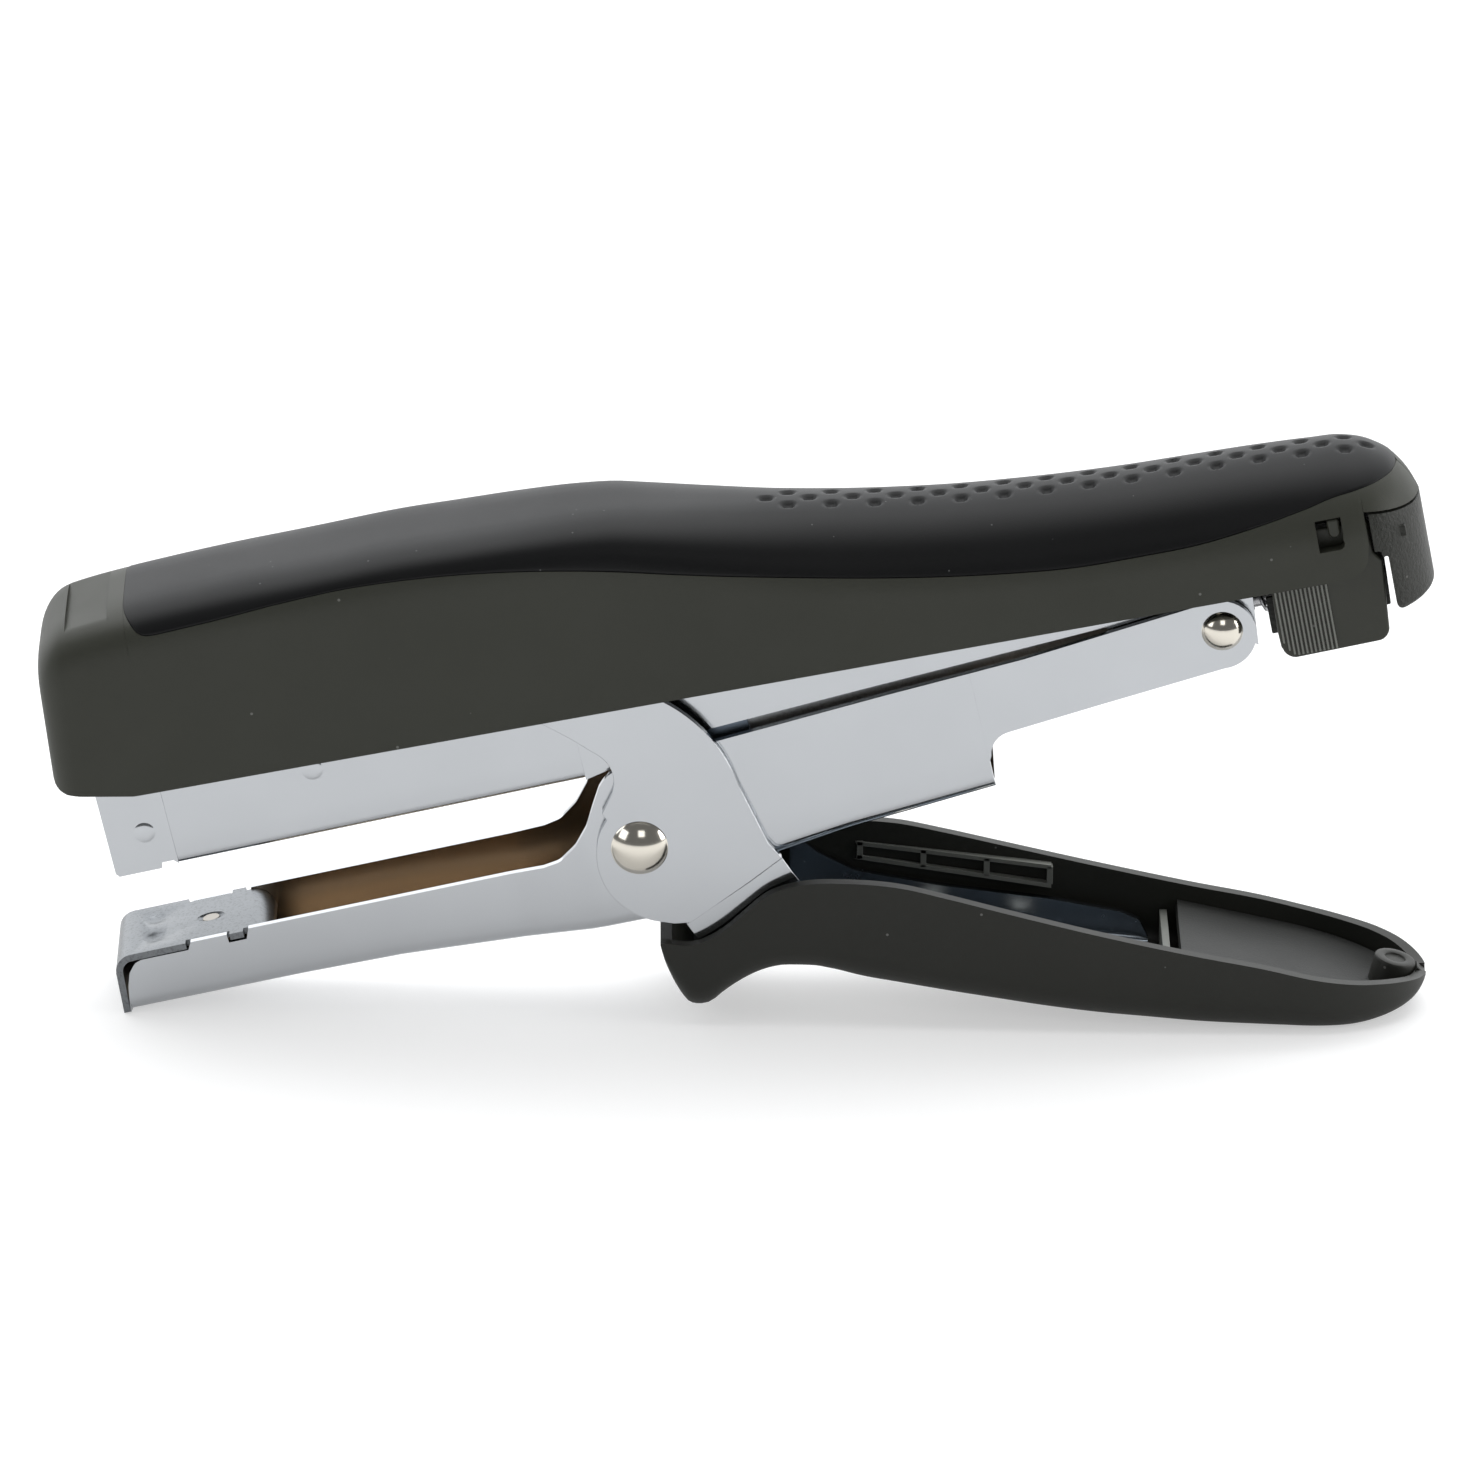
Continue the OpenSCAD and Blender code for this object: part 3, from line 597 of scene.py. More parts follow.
def carve(piece, cutter):
    """Cuts one closed piece by another for good and removes the cutter."""
    cut = piece.modifiers.new("cut", "BOOLEAN")
    cut.object = cutter
    cut.operation = "DIFFERENCE"
    cut.solver = "EXACT"
    bpy.context.view_layer.update()
    ready = piece.evaluated_get(bpy.context.evaluated_depsgraph_get())
    mesh = bpy.data.meshes.new_from_object(ready)
    piece.modifiers.clear()
    piece.data = mesh
    bpy.data.objects.remove(cutter)
    work = bmesh.new()
    work.from_mesh(mesh)
    bmesh.ops.remove_doubles(work, verts=work.verts, dist=0.002 * MM)
    work.to_mesh(mesh)
    work.free()
    mesh.shade_smooth()
    mesh.set_sharp_from_angle(angle=math.radians(35))


# ---- cover, grip, plug and tabs ----

NOSE = -158.0
GRIP_FROM = -143.9
PANEL = (-152.8, -146.2)
PLUG_FROM = 22.0
COVER_LOW = line(
    [
        (-158, 9.6), (-157.9, 8.6), (-157.4, 7.9), (-156.4, 7.3), (-147.4, 5.6),
        (17, 5.6), (18.6, 5.75), (19.9, 6.3), (20.8, 7.3), (21.3, 8.6), (21.4, 9.8),
        (21.45, 14.25), (29.2, 12.2),
    ]
)  # fmt: skip
GRIP_EDGE = curve(
    [(-143.9, 30.7), (-143.4, 30), (-142.3, 28.5), (-140.9, 27.9), (-137.5, 28), (-134, 28.2)]
)


def seam(u):
    """Height of the grip's lower edge, with its rounded front corner."""
    return np.where(u < -134, GRIP_EDGE(u), SEAM(u))


def nose_shape(u, y, w, rows):
    """Rounds the front: plan corners of radius 4, top corner of radius 6, and a slight lean."""
    corner = np.clip(4 - (rows - NOSE), 0, 4)
    y = y * (1 - (4 - np.sqrt(16 - corner**2)) / stapler().cover_half)
    top = np.clip(6 - (rows - NOSE), 0, 6)
    drop = 6 - np.sqrt(36 - top**2)
    w = w - drop * np.clip((w - 12) / (CREST(rows) - 12), 0, 1)
    lean = 0.066 * (w - 8.5) * (1 - ease((rows - NOSE) / 11))
    return u + lean, y, w


def cover_surface(inset=0.0):
    """Stations along u; each one runs up the wall, over the rounding and across the top.

    The inner face has the same stations, drawn in by the inset from the sides, top and both ends.
    """
    front = NOSE + 6 * (1 - np.cos(np.linspace(0, np.pi / 2, 13)))
    rear = REAR_FROM + REAR_REACH * np.sin(np.linspace(0.38, np.pi / 2, 26))
    rows = np.concatenate(
        [
            front[front < -153.1], PANEL[0] + np.array([-0.2, -0.06, 0, 0.5]),
            np.arange(-151.5, -146.4, 1.0), PANEL[1] + np.array([-0.01, 0.05, 0.8]),
            [-144.6, GRIP_FROM - 0.02, GRIP_FROM],
            np.arange(GRIP_FROM + 0.2, -139, 0.35), np.arange(-138.5, 14, 1.6),
            np.arange(14.4, 21.3, 0.5), [21.4, 21.45], rear[rear > 21.5],
        ]
    )[:, None]  # fmt: skip
    a, _, z0, n = body_section(rows)
    low = COVER_LOW(rows)
    t_low = height_to_t(rows, low)
    edge = np.where(rows < GRIP_FROM, 27.9, seam(rows)) - inset
    t_edge = np.maximum(height_to_t(rows, edge), t_low)
    up = np.linspace(0, 1, 9)[None, :]
    y_low, w_low = body_point(rows, t_low, inset)
    wall_y = np.broadcast_to(np.where(low < z0, -np.maximum(a - inset, 0), y_low), (len(rows), 9))
    w_low = np.where(low < z0, low, w_low)
    wall_w = w_low + up * (np.maximum(z0, w_low) - w_low)
    y1, w1 = body_point(rows, t_low + (t_edge - t_low) * np.linspace(0, 1, 19)[None, 1:], inset)
    t2 = t_edge + (0.5 - t_edge) * np.linspace(0, 1, 17)[None, 1:]
    y2, w2 = body_point(rows, t2, inset)
    deck = rows >= GRIP_FROM
    inward = np.linspace(0, 1, 17)[None, 1:]
    y2 = np.where(deck, y1[:, -1:] * (1 - inward), y2)
    w2 = np.where(deck, np.minimum(w1[:, -1:], edge) - 0.15 * ease(inward * 6), w2)
    panel = (rows > PANEL[0] - 0.03) & (rows < PANEL[1] + 0.03)
    crown = CREST(rows) - stapler().panel_depth - inset
    w1 = np.where(panel, np.minimum(w1, crown), w1)
    w2 = np.where(panel, np.minimum(w2, crown), w2)
    y = np.concatenate([wall_y, y1, y2], 1)
    w = np.concatenate([wall_w, w1, w2], 1)
    y, w = mirrored(y, w)
    ends = ease((-146 - rows) / 12) - ease((rows - REAR_FROM) / 12)
    return nose_shape(np.broadcast_to(rows + ends * inset, y.shape), y, w, rows)


def cover_window_side():
    """Side view of the latch window: a slot with a rounded step at its upper rear."""
    step = arc(17.5, 10.9, 0.8, -60, 30, 4)
    return np.concatenate(
        [[(14.8, 10.1), (17.6, 10.1)], step, [(18.3, 12.2), (18.3, 14.4), (14.8, 14.4)]]
    )


def make_cover():
    """Outer and inner skins joined along the lower rim, with a latch window on each side."""
    shape = Shape()
    outer = shape.grid(COVER.place(*cover_surface()))
    inner = shape.grid(COVER.place(*cover_surface(WALL)))
    shape.faces.append(outer[0].tolist())
    shape.faces.append(inner[0].tolist())
    shape.strip(outer[0, [0, -1]], inner[0, [0, -1]])
    for side in (0, -1):
        shape.strip(outer[:, side], inner[:, side])
    cover = shape.build("olive_cover", 30)
    cutter = Shape()
    cutter.plate(COVER, cover_window_side(), -14, 14)
    carve(cover, cutter.build("cutter"))
    soften(cover, 0.22, 2, 38)
    finish(cover, "upper", "top_cover", MATERIALS["cover_plastic"])


def dimple_field(u, y):
    """Depth of the grip's dimples at u, y: each one is (1 - (d / R)^2)^2 deep, in three rows."""
    size = stapler()
    deep = np.zeros(np.broadcast(u, y).shape)
    start = size.dimple_start
    offset, spread = 2.9, 2.1
    for first, count, across in (
        (start, 15, 0),
        (start + offset, 14, spread),
        (start + offset, 14, -spread),
    ):
        k = np.clip(np.round((u - first) / size.dimple_pitch), 0, count - 1)
        gone = (u - first - k * size.dimple_pitch) ** 2 + (y - across) ** 2
        reach = np.clip(1 - gone / (size.dimple_size / 2 * 1.02) ** 2, 0, 1)
        deep = deep + size.dimple_depth * np.minimum(1, 1.35 * reach) ** 1.5
    return deep


def make_grip():
    """Stations along u from seam to seam, rolled in at the seam and dimpled along the crest."""
    tip = 26.78 - 2.2 * (1 - np.sin(np.linspace(0, np.pi / 2, 12)))
    rows = np.concatenate(
        [
            GRIP_FROM + np.array([0.03, 0.1, 0.25, 0.5]), np.arange(-143.1, -139, 0.35),
            np.arange(-138.7, -59.5, 1.3), np.arange(-59, tip[0] - 0.2, 0.34), tip,
        ]
    )[:, None]  # fmt: skip
    a, _, _, n = body_section(rows)
    t_low = height_to_t(rows, seam(rows) + 0.02)
    y_low, w_low = body_point(rows, t_low)
    inner = np.minimum(4.2, -y_low * 0.7)
    t_in = np.arccos(np.clip(inner / np.maximum(a, 1e-6), 0, 1) ** (n / 2)) / np.pi
    fall = np.linspace(0, 1, 19)[None, :] ** 1.5
    t1 = t_low + (t_in - t_low) * fall
    y_top = inner * (1 - np.linspace(0, 1, 13)[None, 1:])
    t2 = np.arccos(np.clip(y_top / np.maximum(a, 1e-6), 0, 1) ** (n / 2)) / np.pi
    t = np.concatenate([t1, t2], 1)
    y, w = body_point(rows, t)
    far = np.hypot(y - y_low, w - w_low)
    roll = 0.3
    tuck = roll * (1 - np.sqrt(1 - (1 - np.clip(far / roll, 0, 1)) ** 2))
    y, w = body_point(rows, t, inset=tuck - 0.06)
    y, w = mirrored(y, w)
    w = w - dimple_field(rows, y)
    back = np.linspace(1, -1, 7)[None, :]
    under_y = -y[:, :1] * back * 0.98
    under_w = np.broadcast_to(w[:, :1] - 0.02, under_y.shape)
    y = np.concatenate([y, under_y], 1)
    w = np.concatenate([w, under_w], 1)
    shape = Shape()
    shape.tube(COVER.place(rows, y, w))
    grip = shape.build("rubber_grip", 50)
    finish(grip, "upper", "grip_insert", MATERIALS["grip_rubber"])


def plug_loops(heights, inset):
    """The body's rear end below the cover: one closed loop in plan for each height.

    A loop is y = a (1 - ((w - z0) / b)^n)^(1/n) from the plug's front face round to its tip,
    drawn in by the inset, and tucked in by a quarter circle at the lowest loops.
    """
    heights = np.asarray(heights)[:, None]
    z0 = CREST(REAR_FROM) - 10.4
    roof = np.linspace(26.8, REAR_FROM + REAR_REACH, 200)
    tip = np.interp(-heights, -CREST(roof), roof)
    across = np.sin(np.linspace(0, np.pi / 2, 36))[None, :]
    u = PLUG_FROM + (tip - PLUG_FROM) * across
    a, b, _, n = body_section(u)
    rise = np.clip((heights - z0) / b, 0, 1)
    tuck = inset + 0.9 * (1 - np.sqrt(1 - (1 - np.clip((heights + 1) / 0.9, 0, 1)) ** 2))
    y = np.maximum(a * (1 - rise**n) ** (1 / n) - tuck, 0) - 0.02
    y = np.where(across >= 1, 0, np.maximum(y, 0))
    u = u - tuck * across**2
    u = np.concatenate([u, u[:, -2::-1]], 1)
    y = np.concatenate([-y, y[:, -2::-1]], 1)
    shape = Shape()
    shape.tube(COVER.place(u, y, np.broadcast_to(heights, u.shape)))
    return shape


def make_plug():
    """The hollow rear end with its hook slot, and the core that carries the guide rod."""
    tucked = -1 + 0.9 * (1 - np.cos(np.linspace(0, np.pi / 2, 6)))
    rows = np.concatenate([tucked, np.linspace(0.6, 14.1, 22)])
    plug = plug_loops(rows, 0).build("grained_plug", 30)
    carve(plug, plug_loops([-3, 0, 4, 9, 10.3, 10.8], 1.7).build("cutter"))
    hollow = Shape()
    hollow.block(COVER, (20, 23.2), (-9.8, 9.8), (-4, 9.4))
    carve(plug, hollow.build("cutter"))
    cutter = Shape()
    side = [
        [(20, 8.6), (22.5, 8.5), (22.85, 8.2), (23.0, 7.2)], arc(23.33, 7.1, 0.33, 160, 20, 4),
        [(23.66, 6.6), (23.66, 0.6)], arc(25.1, 0.5, 1.44, 180, 270, 6), [(25.1, -3), (20, -3)],
    ]  # fmt: skip
    cutter.plate(COVER, np.concatenate(side), -14, 14)
    carve(plug, cutter.build("cutter"))
    roof = Shape()
    roof.plate(COVER, [(21, 14.0), (30, 11.65), (30, 18), (21, 18)], -14, 14)
    carve(plug, roof.build("cutter"))
    soften(plug, 0.3, 3, 38)
    finish(plug, "plug", "rear_plug", MATERIALS["plug_plastic"])
    frame_part = Shape()
    frame_part.block(COVER, (8, 22.8), (-4.6, 4.6), (-2, 3.2))
    frame_part.block(COVER, (20.9, 22.8), (-4.6, 4.6), (3.2, 10.4))
    frame_part.block(COVER, (21.9, 26.6), (-8.6, 8.6), (9, 10.6))
    for side in (-1, 1):
        frame_part.block(COVER, (6.4, 22), both_hands(side, 3, 4.2), (-3.4, 2))
    core = frame_part.build("plug_core")
    soften(core, 0.2)
    finish(core, "plug", "rear_plug", MATERIALS["plug_plastic"])


def tab_side():
    """Side view of a release tab, from its upper front corner round to the latch's root."""
    return np.concatenate(
        [
            [(7.5, 6.6), (7.3, -1.4), (7.4, -3.4)], arc(9.4, -3.3, 1.9, 190, 262, 5),
            [(19.9, -4.9)], arc(20.3, -3.1, 1.8, 280, 350, 6),
            [(22.8, 6.6), (21.7, 8), (21.7, 12.6), (12, 12.6), (12, 6.6)],
        ]
    )  # fmt: skip


RIB_FROM, RIB_PITCH, RIB_WIDTH, RIB_TOP = 7.75, 0.57, 0.28, 5.4


def make_tab(name, body, side):
    """A squeeze tab: leaf with rounded outline, upright ribs on its face and the latch barb."""
    shape = Shape()
    shape.plate(COVER, tab_side(), *both_hands(side, 7.5, 9.55))
    leaf = shape.build(f"{name}_leaf")
    soften(leaf, 0.35, 3)
    finish(leaf, body, name, MATERIALS["tab_plastic"])
    ribs = Shape()
    for i in range(stapler().tab_ribs):
        u = RIB_FROM + i * RIB_PITCH
        low = -4.7 + 2.0 * max(0, 1 - i * RIB_PITCH / 1.6) ** 2
        ribs.block(COVER, (u, u + RIB_WIDTH), both_hands(side, 9.4, 9.9), (low, RIB_TOP))
    grip = ribs.build(f"{name}_ribs")
    soften(grip, 0.12, 2)
    # The ribs' light colour is a painted highlight.
    finish(grip, body, name, MATERIALS["rib_plastic"])
    barb = Shape()
    foot = np.concatenate([arc(17.2, 12.3, 0.85, 180, 360, 8), [(18.05, 14.2), (16.35, 14.2)]])
    barb.plate(COVER, foot, *both_hands(side, 9.2, 11))
    latch = barb.build(f"{name}_latch")
    soften(latch, 0.4, 4)
    finish(latch, body, name, MATERIALS["tab_plastic"])


# ---- handle ----

RIM = curve(
    [
        (2.9, -13.6), (8, -13.5), (11.2, -11.7), (14.1, -9.1), (16.8, -6.6), (20, -5.1),
        (22.9, -4.5), (27.3, -4.3), (35.1, -4.8), (41.4, -6.2), (48.6, -8), (62.1, -11.3),
        (75.6, -14.3), (84.7, -16.1), (91.8, -17.8), (97.5, -18.9), (101.2, -19.5),
        (104.7, -20.3), (107.1, -21.2),
    ]
)  # fmt: skip
LOW = curve(
    [
        (2.9, -14), (3.4, -16.2), (4.2, -18.6), (5.3, -21.2), (6.5, -23.2), (8, -23.8),
        (9.8, -23.4), (11.5, -21.9), (14.1, -20), (17.1, -18.5), (20, -17.9), (23.5, -17.9),
        (26.1, -18.3), (30.3, -19.3), (35.1, -20.1), (41.9, -21.2), (48.6, -22.2), (55.4, -23.2),
        (62.1, -24), (68.9, -24.6), (75.6, -25.2), (83.7, -25.6), (90.4, -25.8), (95.5, -25.8),
        (98.9, -25.5), (101.8, -24.9), (104, -24.2),
        (105.7, -23.3), (107.1, -21.9),
    ]
)  # fmt: skip
HALF = curve(
    [
        (2.9, 10.7), (8, 11.1), (20, 11.3), (36, 11.9), (49, 12.4), (63, 12.75), (80, 12.8),
        (90, 12.8),
    ]
)  # fmt: skip


def handle_half(x):
    """Half width of the handle: nearly straight, then an elliptic tip."""
    tip = np.clip((x - 88) / 19.2, 0, 1)
    return HALF(x) * np.sqrt(1 - tip**2.2)


def handle_shell():
    """Stations along x; each one runs from rim to rim round a rounded floor.

    The floor's corners are superellipse quarters whose radius follows the shell's depth.
    """
    rows = np.concatenate(
        [
            2.9 + 5 * (1 - np.cos(np.linspace(0, np.pi / 2, 14))), np.arange(8.6, 88, 0.9),
            88 + 19.1 * np.sin(np.linspace(0.04, np.pi / 2, 30)),
        ]
    )[:, None]  # fmt: skip
    half = handle_half(rows)
    rim, low = RIM(rows), LOW(rows)
    deep = np.maximum(rim - low, 0.05)
    radius = np.minimum(4.4, deep * 0.5)
    radius_y = np.minimum(radius, half * 0.6)
    up = np.linspace(0, 1, 8)[None, :]
    wall_w = rim + up * (low + radius - rim)
    wall_y = np.broadcast_to(-half, wall_w.shape)
    turn = np.linspace(0, np.pi / 2, 12)[None, 1:]
    corner_y = -half + radius_y * (1 - np.cos(turn))
    corner_w = low + radius * (1 - np.sin(turn))
    floor = np.linspace(0, 1, 7)[None, 1:]
    floor_y = (-half + radius_y) * (1 - floor)
    floor_w = np.broadcast_to(low, floor_y.shape)
    y = np.concatenate([wall_y, corner_y, floor_y], 1)
    w = np.concatenate([wall_w, corner_w, floor_w], 1)
    y, w = mirrored(y, w)
    return np.broadcast_to(rows, y.shape), y, w


def make_handle():
    """The trough: shell, inner rib ladder, raised floor panel with a pad, and the tip's boss."""
    shape = Shape()
    u, y, w = handle_shell()
    shape.grid(LEVER.place(u, y, w))
    shell = shape.build("olive_handle", 30)
    thicken(shell, 1.6)
    soften(shell, 0.35, 3, 45)
    finish(shell, "lever", "lower_handle", MATERIALS["handle_plastic"])
    # The handle's inner walls and floor get the lighter plastic: painted fill light.
    paint_inside_light(shell, MATERIALS["inner_plastic"], 7)

    ribs = Shape()
    for side in (-1, 1):
        ys = both_hands(side, 9.75, 11)
        ribs.plate(LEVER, [(29.7, -9.9), (56.3, -14.1), (56.3, -13.5), (29.7, -9.3)], *ys)
        ribs.plate(LEVER, [(29.7, -7.9), (56.3, -11.3), (56.3, -10.7), (29.7, -7.3)], *ys)
        for x in np.linspace(29.7, 55.7, 4):
            fall = (x - 29.7) * 0.14
            ribs.block(LEVER, (x, x + 0.8), ys, (-9.9 - fall, -7.3 - fall))
    ribs.block(LEVER, (71.2, 72.2), (-10.8, 10.8), (-22.8, -17.6))
    ladder = ribs.build("handle_ribs")
    soften(ladder, 0.15)
    # The inner ribs take the same lighter plastic: painted fill light.
    finish(ladder, "lever", "lower_handle", MATERIALS["inner_plastic"])

    rounded = 90 + 15.4 * np.sin(np.linspace(0.06, 1.5, 20))
    rows = np.concatenate([np.linspace(73.4, 90, 18), rounded])[:, None]
    across = np.linspace(-1, 1, 25)[None, :]
    reach = np.minimum(handle_half(rows + 1.2) - 1.5, 11.4)
    y = across * reach
    top = -18.1 - 0.222 * (rows - 74) + 0.8 * np.abs(across) ** 4
    sheet = Shape()
    sheet.grid(LEVER.place(rows, y, top))
    panel = sheet.build("handle_floor")
    thicken(panel, 1.0)
    soften(panel, 0.2)
    finish(panel, "lever", "lower_handle", MATERIALS["panel_plastic"])

    pad = Shape()
    pad.plate(LEVER, [(82, -20.4), (86, -21.3), (86, -20.6), (82, -19.7)], -2.6, 2.6)
    bump = pad.build("handle_floor_pad")
    soften(bump, 0.25, 3)
    finish(bump, "lever", "lower_handle", MATERIALS["panel_plastic"])

    boss = Shape()
    r = stapler().tip_hole / 2
    turned = [
        (r, -5.2), (2.9, -5.2), (2.9, -0.4), (2.75, -0.1), (2.5, 0),
        (r + 0.35, 0), (r + 0.1, -0.1), (r, -0.35),
    ]  # fmt: skip
    boss.post(LEVER, (103, -19.7), turned, 48, slope(MOUNTS["tip_hole"]["axis"]))
    ring = boss.build("tip_boss")
    soften(ring, 0.08)
    finish(ring, "lever", "lower_handle", MATERIALS["handle_plastic"])


# ---- metal: half widths over the walls, and sheet thicknesses ----

MAGAZINE_HALF, MAGAZINE_SHEET = 6.9, 0.5
JAW_HALF, ARM_HALF, ARM_SHEET = 7.45, 8.25, 1.0
LEVER_HALF, LEVER_SHEET = 9.6, 1.1
TRACK_FLOOR = -2.9


def channel(shape, axes, u, top, low, half, radius, sheet):
    """A pressed U-channel: upright walls, bends of one radius and a flat floor, of even sheet.

    At each u the section runs from the near wall's top down, round the bend
    (y = -half + r (1 - cos t), w = low + r (1 - sin t)), across the floor and up the far side.
    """

    def face(inset):
        reach = (half - inset)[:, None]
        floor = (low + inset)[:, None]
        tall = np.maximum(top[:, None] - floor, 0.02)
        r = np.minimum(max(radius - inset, 0.15), tall * 0.95)
        wall = np.linspace(0, 1, 5)[None, :]
        turn = np.linspace(0, np.pi / 2, 9)[None, 1:]
        across = np.linspace(0, 1, 4)[None, 1:]
        wall_w = floor + tall + wall * (r - tall)
        wall_y = np.broadcast_to(-reach, wall_w.shape)
        bend_y = -reach + r * (1 - np.cos(turn))
        y = np.concatenate([wall_y, bend_y, (r - reach) * (1 - across)], 1)
        w = np.concatenate([wall_w, floor + r * (1 - np.sin(turn)), floor + 0 * across], 1)
        y, w = mirrored(y, w)
        return axes.place(np.broadcast_to(u[:, None], y.shape), y, w)

    shape.shell(face(0), face(sheet))


def make_magazine():
    """Channel walls with a bent floor, an open nose, stamped wall dimples and an end plate."""
    chrome = MATERIALS["magazine_plate"]
    top = line([(-153, 10.9), (-60, 8.2), (-7, 7.2)])
    u = np.linspace(-144.3, -88, 40)
    walls = Shape()
    low, half = np.full(40, TRACK_FLOOR), np.full(40, MAGAZINE_HALF)
    channel(walls, MAGAZINE, u, top(u), low, half, 1.3, MAGAZINE_SHEET)
    inner = MAGAZINE_HALF - MAGAZINE_SHEET
    nose = [
        (-153, 10.9), (-153, -2.3), (-152.6, TRACK_FLOOR), (-146.7, TRACK_FLOOR), (-146.5, -2.1),
        (-144.9, -2.1), (-144.3, -2.7), (-144.3, top(-144.3)),
    ]  # fmt: skip
    walls.plates(MAGAZINE, nose, inner, MAGAZINE_HALF)
    walls.block(MAGAZINE, (-153, -152.5), (-inner, inner), (-2.8, 7))
    rear = [
        [(-88, top(-88)), (-88, -2.9), (-84, -2), (-78, -0.2), (-70, 0.7), (-49, 1.8)],
        [(-15.3, 3.4), (-9, -0.5)], arc(0, 0, 4.6, 205, 320, 8),
        [(4.3, -3.6), (4.9, 3), (4.9, 7.2)],
        arc(0, 9.2, 2.3, 0, 180, 10), [(-7, 7.2), (-60, 8.2)],
    ]  # fmt: skip
    walls.plates(MAGAZINE, np.concatenate(rear), inner, MAGAZINE_HALF)
    piece = walls.build("magazine_walls", 30)
    soften(piece, 0.03, 1, 45)
    finish(piece, "magazine", "magazine_channel", chrome)
    stamped = Shape()
    dome = [(1.45, 6.7), (1.45, 6.91), (1.3, 6.98), (1.0, 7.05), (0.6, 7.09), (0.02, 7.1)]
    for place in ((-147.8, 2.7), (-123.6, 6.7)):
        for side in (-1, 1):
            stamped.spin(MAGAZINE, place, dome, side)
    dimples = stamped.build("magazine_dimples", 60)
    finish(dimples, "magazine", "magazine_channel", chrome)
    refine("staple_rail", "magazine", MATERIALS["zinc_steel"], 0.12)
    refine("follower", "pusher", MATERIALS["blued_steel"], 0.15)


def make_staples():
    """Glued staples side by side: each is a square-cornered U of flat wire across the track."""
    low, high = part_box("staple_strip")
    size = stapler()
    middle = ((low + high) / 2) / MM
    out = np.array([middle.x - MAGAZINE.pivot[0], middle.z - MAGAZINE.pivot[1]])
    centre = out[0] * MAGAZINE.cos + out[1] * MAGAZINE.sin
    length = size.strip_length
    pitch = length / round(length / size.staple_pitch)
    half = (high.y - low.y) / 2 / MM
    top, bottom, wire = 4.25, 4.25 - 6.3, 0.53
    crown = top - wire
    sides = [
        (-half, bottom), (-half, top - 0.15), (-half + 0.15, top), (half - 0.15, top),
        (half, top - 0.15), (half, bottom), (half - wire, bottom), (half - wire, crown),
        (-half + wire, crown), (-half + wire, bottom),
    ]  # fmt: skip
    y = np.array([p[0] for p in sides])[None, :]
    w = np.array([p[1] for p in sides])[None, :]
    shape = Shape()
    for k in range(round(length / pitch)):
        start = centre - length / 2 + k * pitch
        u = start + pitch * np.array([0.04, 0.16, 0.84, 0.96])[:, None]
        rounded = np.array([0.06, 0, 0, 0.06])[:, None]
        shape.tube(MAGAZINE.place(u, y * (1 - rounded / half), w - rounded * (w > 0)))
    strip = shape.build("staples", 30)
    finish(strip, "magazine", "staple_strip", MATERIALS["staple_wire"])


def coil(axes, start, upright, radius, wire, length, turns):
    """A round wire on a helix: its middle is start + length t, turned about it at the radius.

    The pitch closes up over the first and last turn, so that the ends lie flat.
    """
    t = np.linspace(0, 1, turns * 20 + 1)
    flat = 1.0 / turns
    ends = [wire / 2, wire * 1.55, length - wire * 1.55, length - wire / 2]
    along = np.interp(t, [0, flat, 1 - flat, 1], ends)
    a = 2 * np.pi * turns * t
    b = np.linspace(0, 2 * np.pi, 8, endpoint=False)[None, :]
    r = radius + wire / 2 * np.cos(b)
    side = r * np.cos(a)[:, None]
    other = r * np.sin(a)[:, None]
    ahead = along[:, None] + wire / 2 * np.sin(b)
    shape = Shape()
    if upright:
        shape.tube(axes.place(start[0] + side, start[1] + other, start[2] + ahead))
    else:
        shape.tube(axes.place(start[0] + ahead, start[1] + side, start[2] + other))
    return shape


def make_springs():
    """The magazine's return spring, the throat spring and the pusher's long spring."""
    wire = MATERIALS["spring_steel"]
    plan = (
        ("magazine_spring", "upper", COVER, (-60.2, 0, 5.3), True, 3.6, 0.8, 9.9, 7),
        ("throat_spring", "arm", ARM, (-60, 0, -16.5), True, 3.95, 0.9, 13.6, 7),
        ("pusher_spring", "pusher", MAGAZINE, (-70.8, 0, 0.3), False, 1.85, 0.6, 78.7, 36),
    )
    for node, body, axes, start, upright, radius, thick, length, turns in plan:
        shape = coil(axes, start, upright, radius, thick, length, turns)
        finish(shape.build(f"coiled_{node}", 60), body, node, wire)


def dome_profile(shank, radius, face, height):
    """Shank, small flat rim, then a ball cap whose radius is (r^2 + h^2) / 2h."""
    edge = radius - 0.12
    ball = (edge**2 + height**2) / (2 * height)
    r = edge * np.cos(np.linspace(0, np.pi / 2, 14)[:-1])
    cap = [(x, face + 0.16 + math.sqrt(ball**2 - x**2) - (ball - height)) for x in r]
    rim = [(shank, 5.5), (shank, face), (radius - 0.1, face), (radius, face + 0.07)]
    return [*rim, *cap, (0.02, cap[-1][1])]


def make_rivets():
    """Domed heads on both sides of the two main rivets, and the small rivets as packed."""
    size = stapler()
    nickel = MATERIALS["nickel"]
    heads = (
        ("centre_rivet", "centre_rivet", "arm", LEVER, (2.5, size.centre_head, LEVER_HALF, 1.72)),
        ("rear_rivet", "rear_rivets", "magazine", MAGAZINE, (1.6, size.rear_head, 8.12, 1.45)),
    )
    for side, hand in ((-1, "left"), (1, "right")):
        for name, node, body, axes, profile in heads:
            head = Shape()
            head.spin(axes, (0, 0), dome_profile(*profile), side)
            finish(head.build(f"{name}_{hand}", 30), body, node, nickel)
    refine("handle_rivets", "lever", nickel, 0.2, 30)
    refine("anvil_rivet", "arm", MATERIALS["dull_nickel"], 0.1, 30)


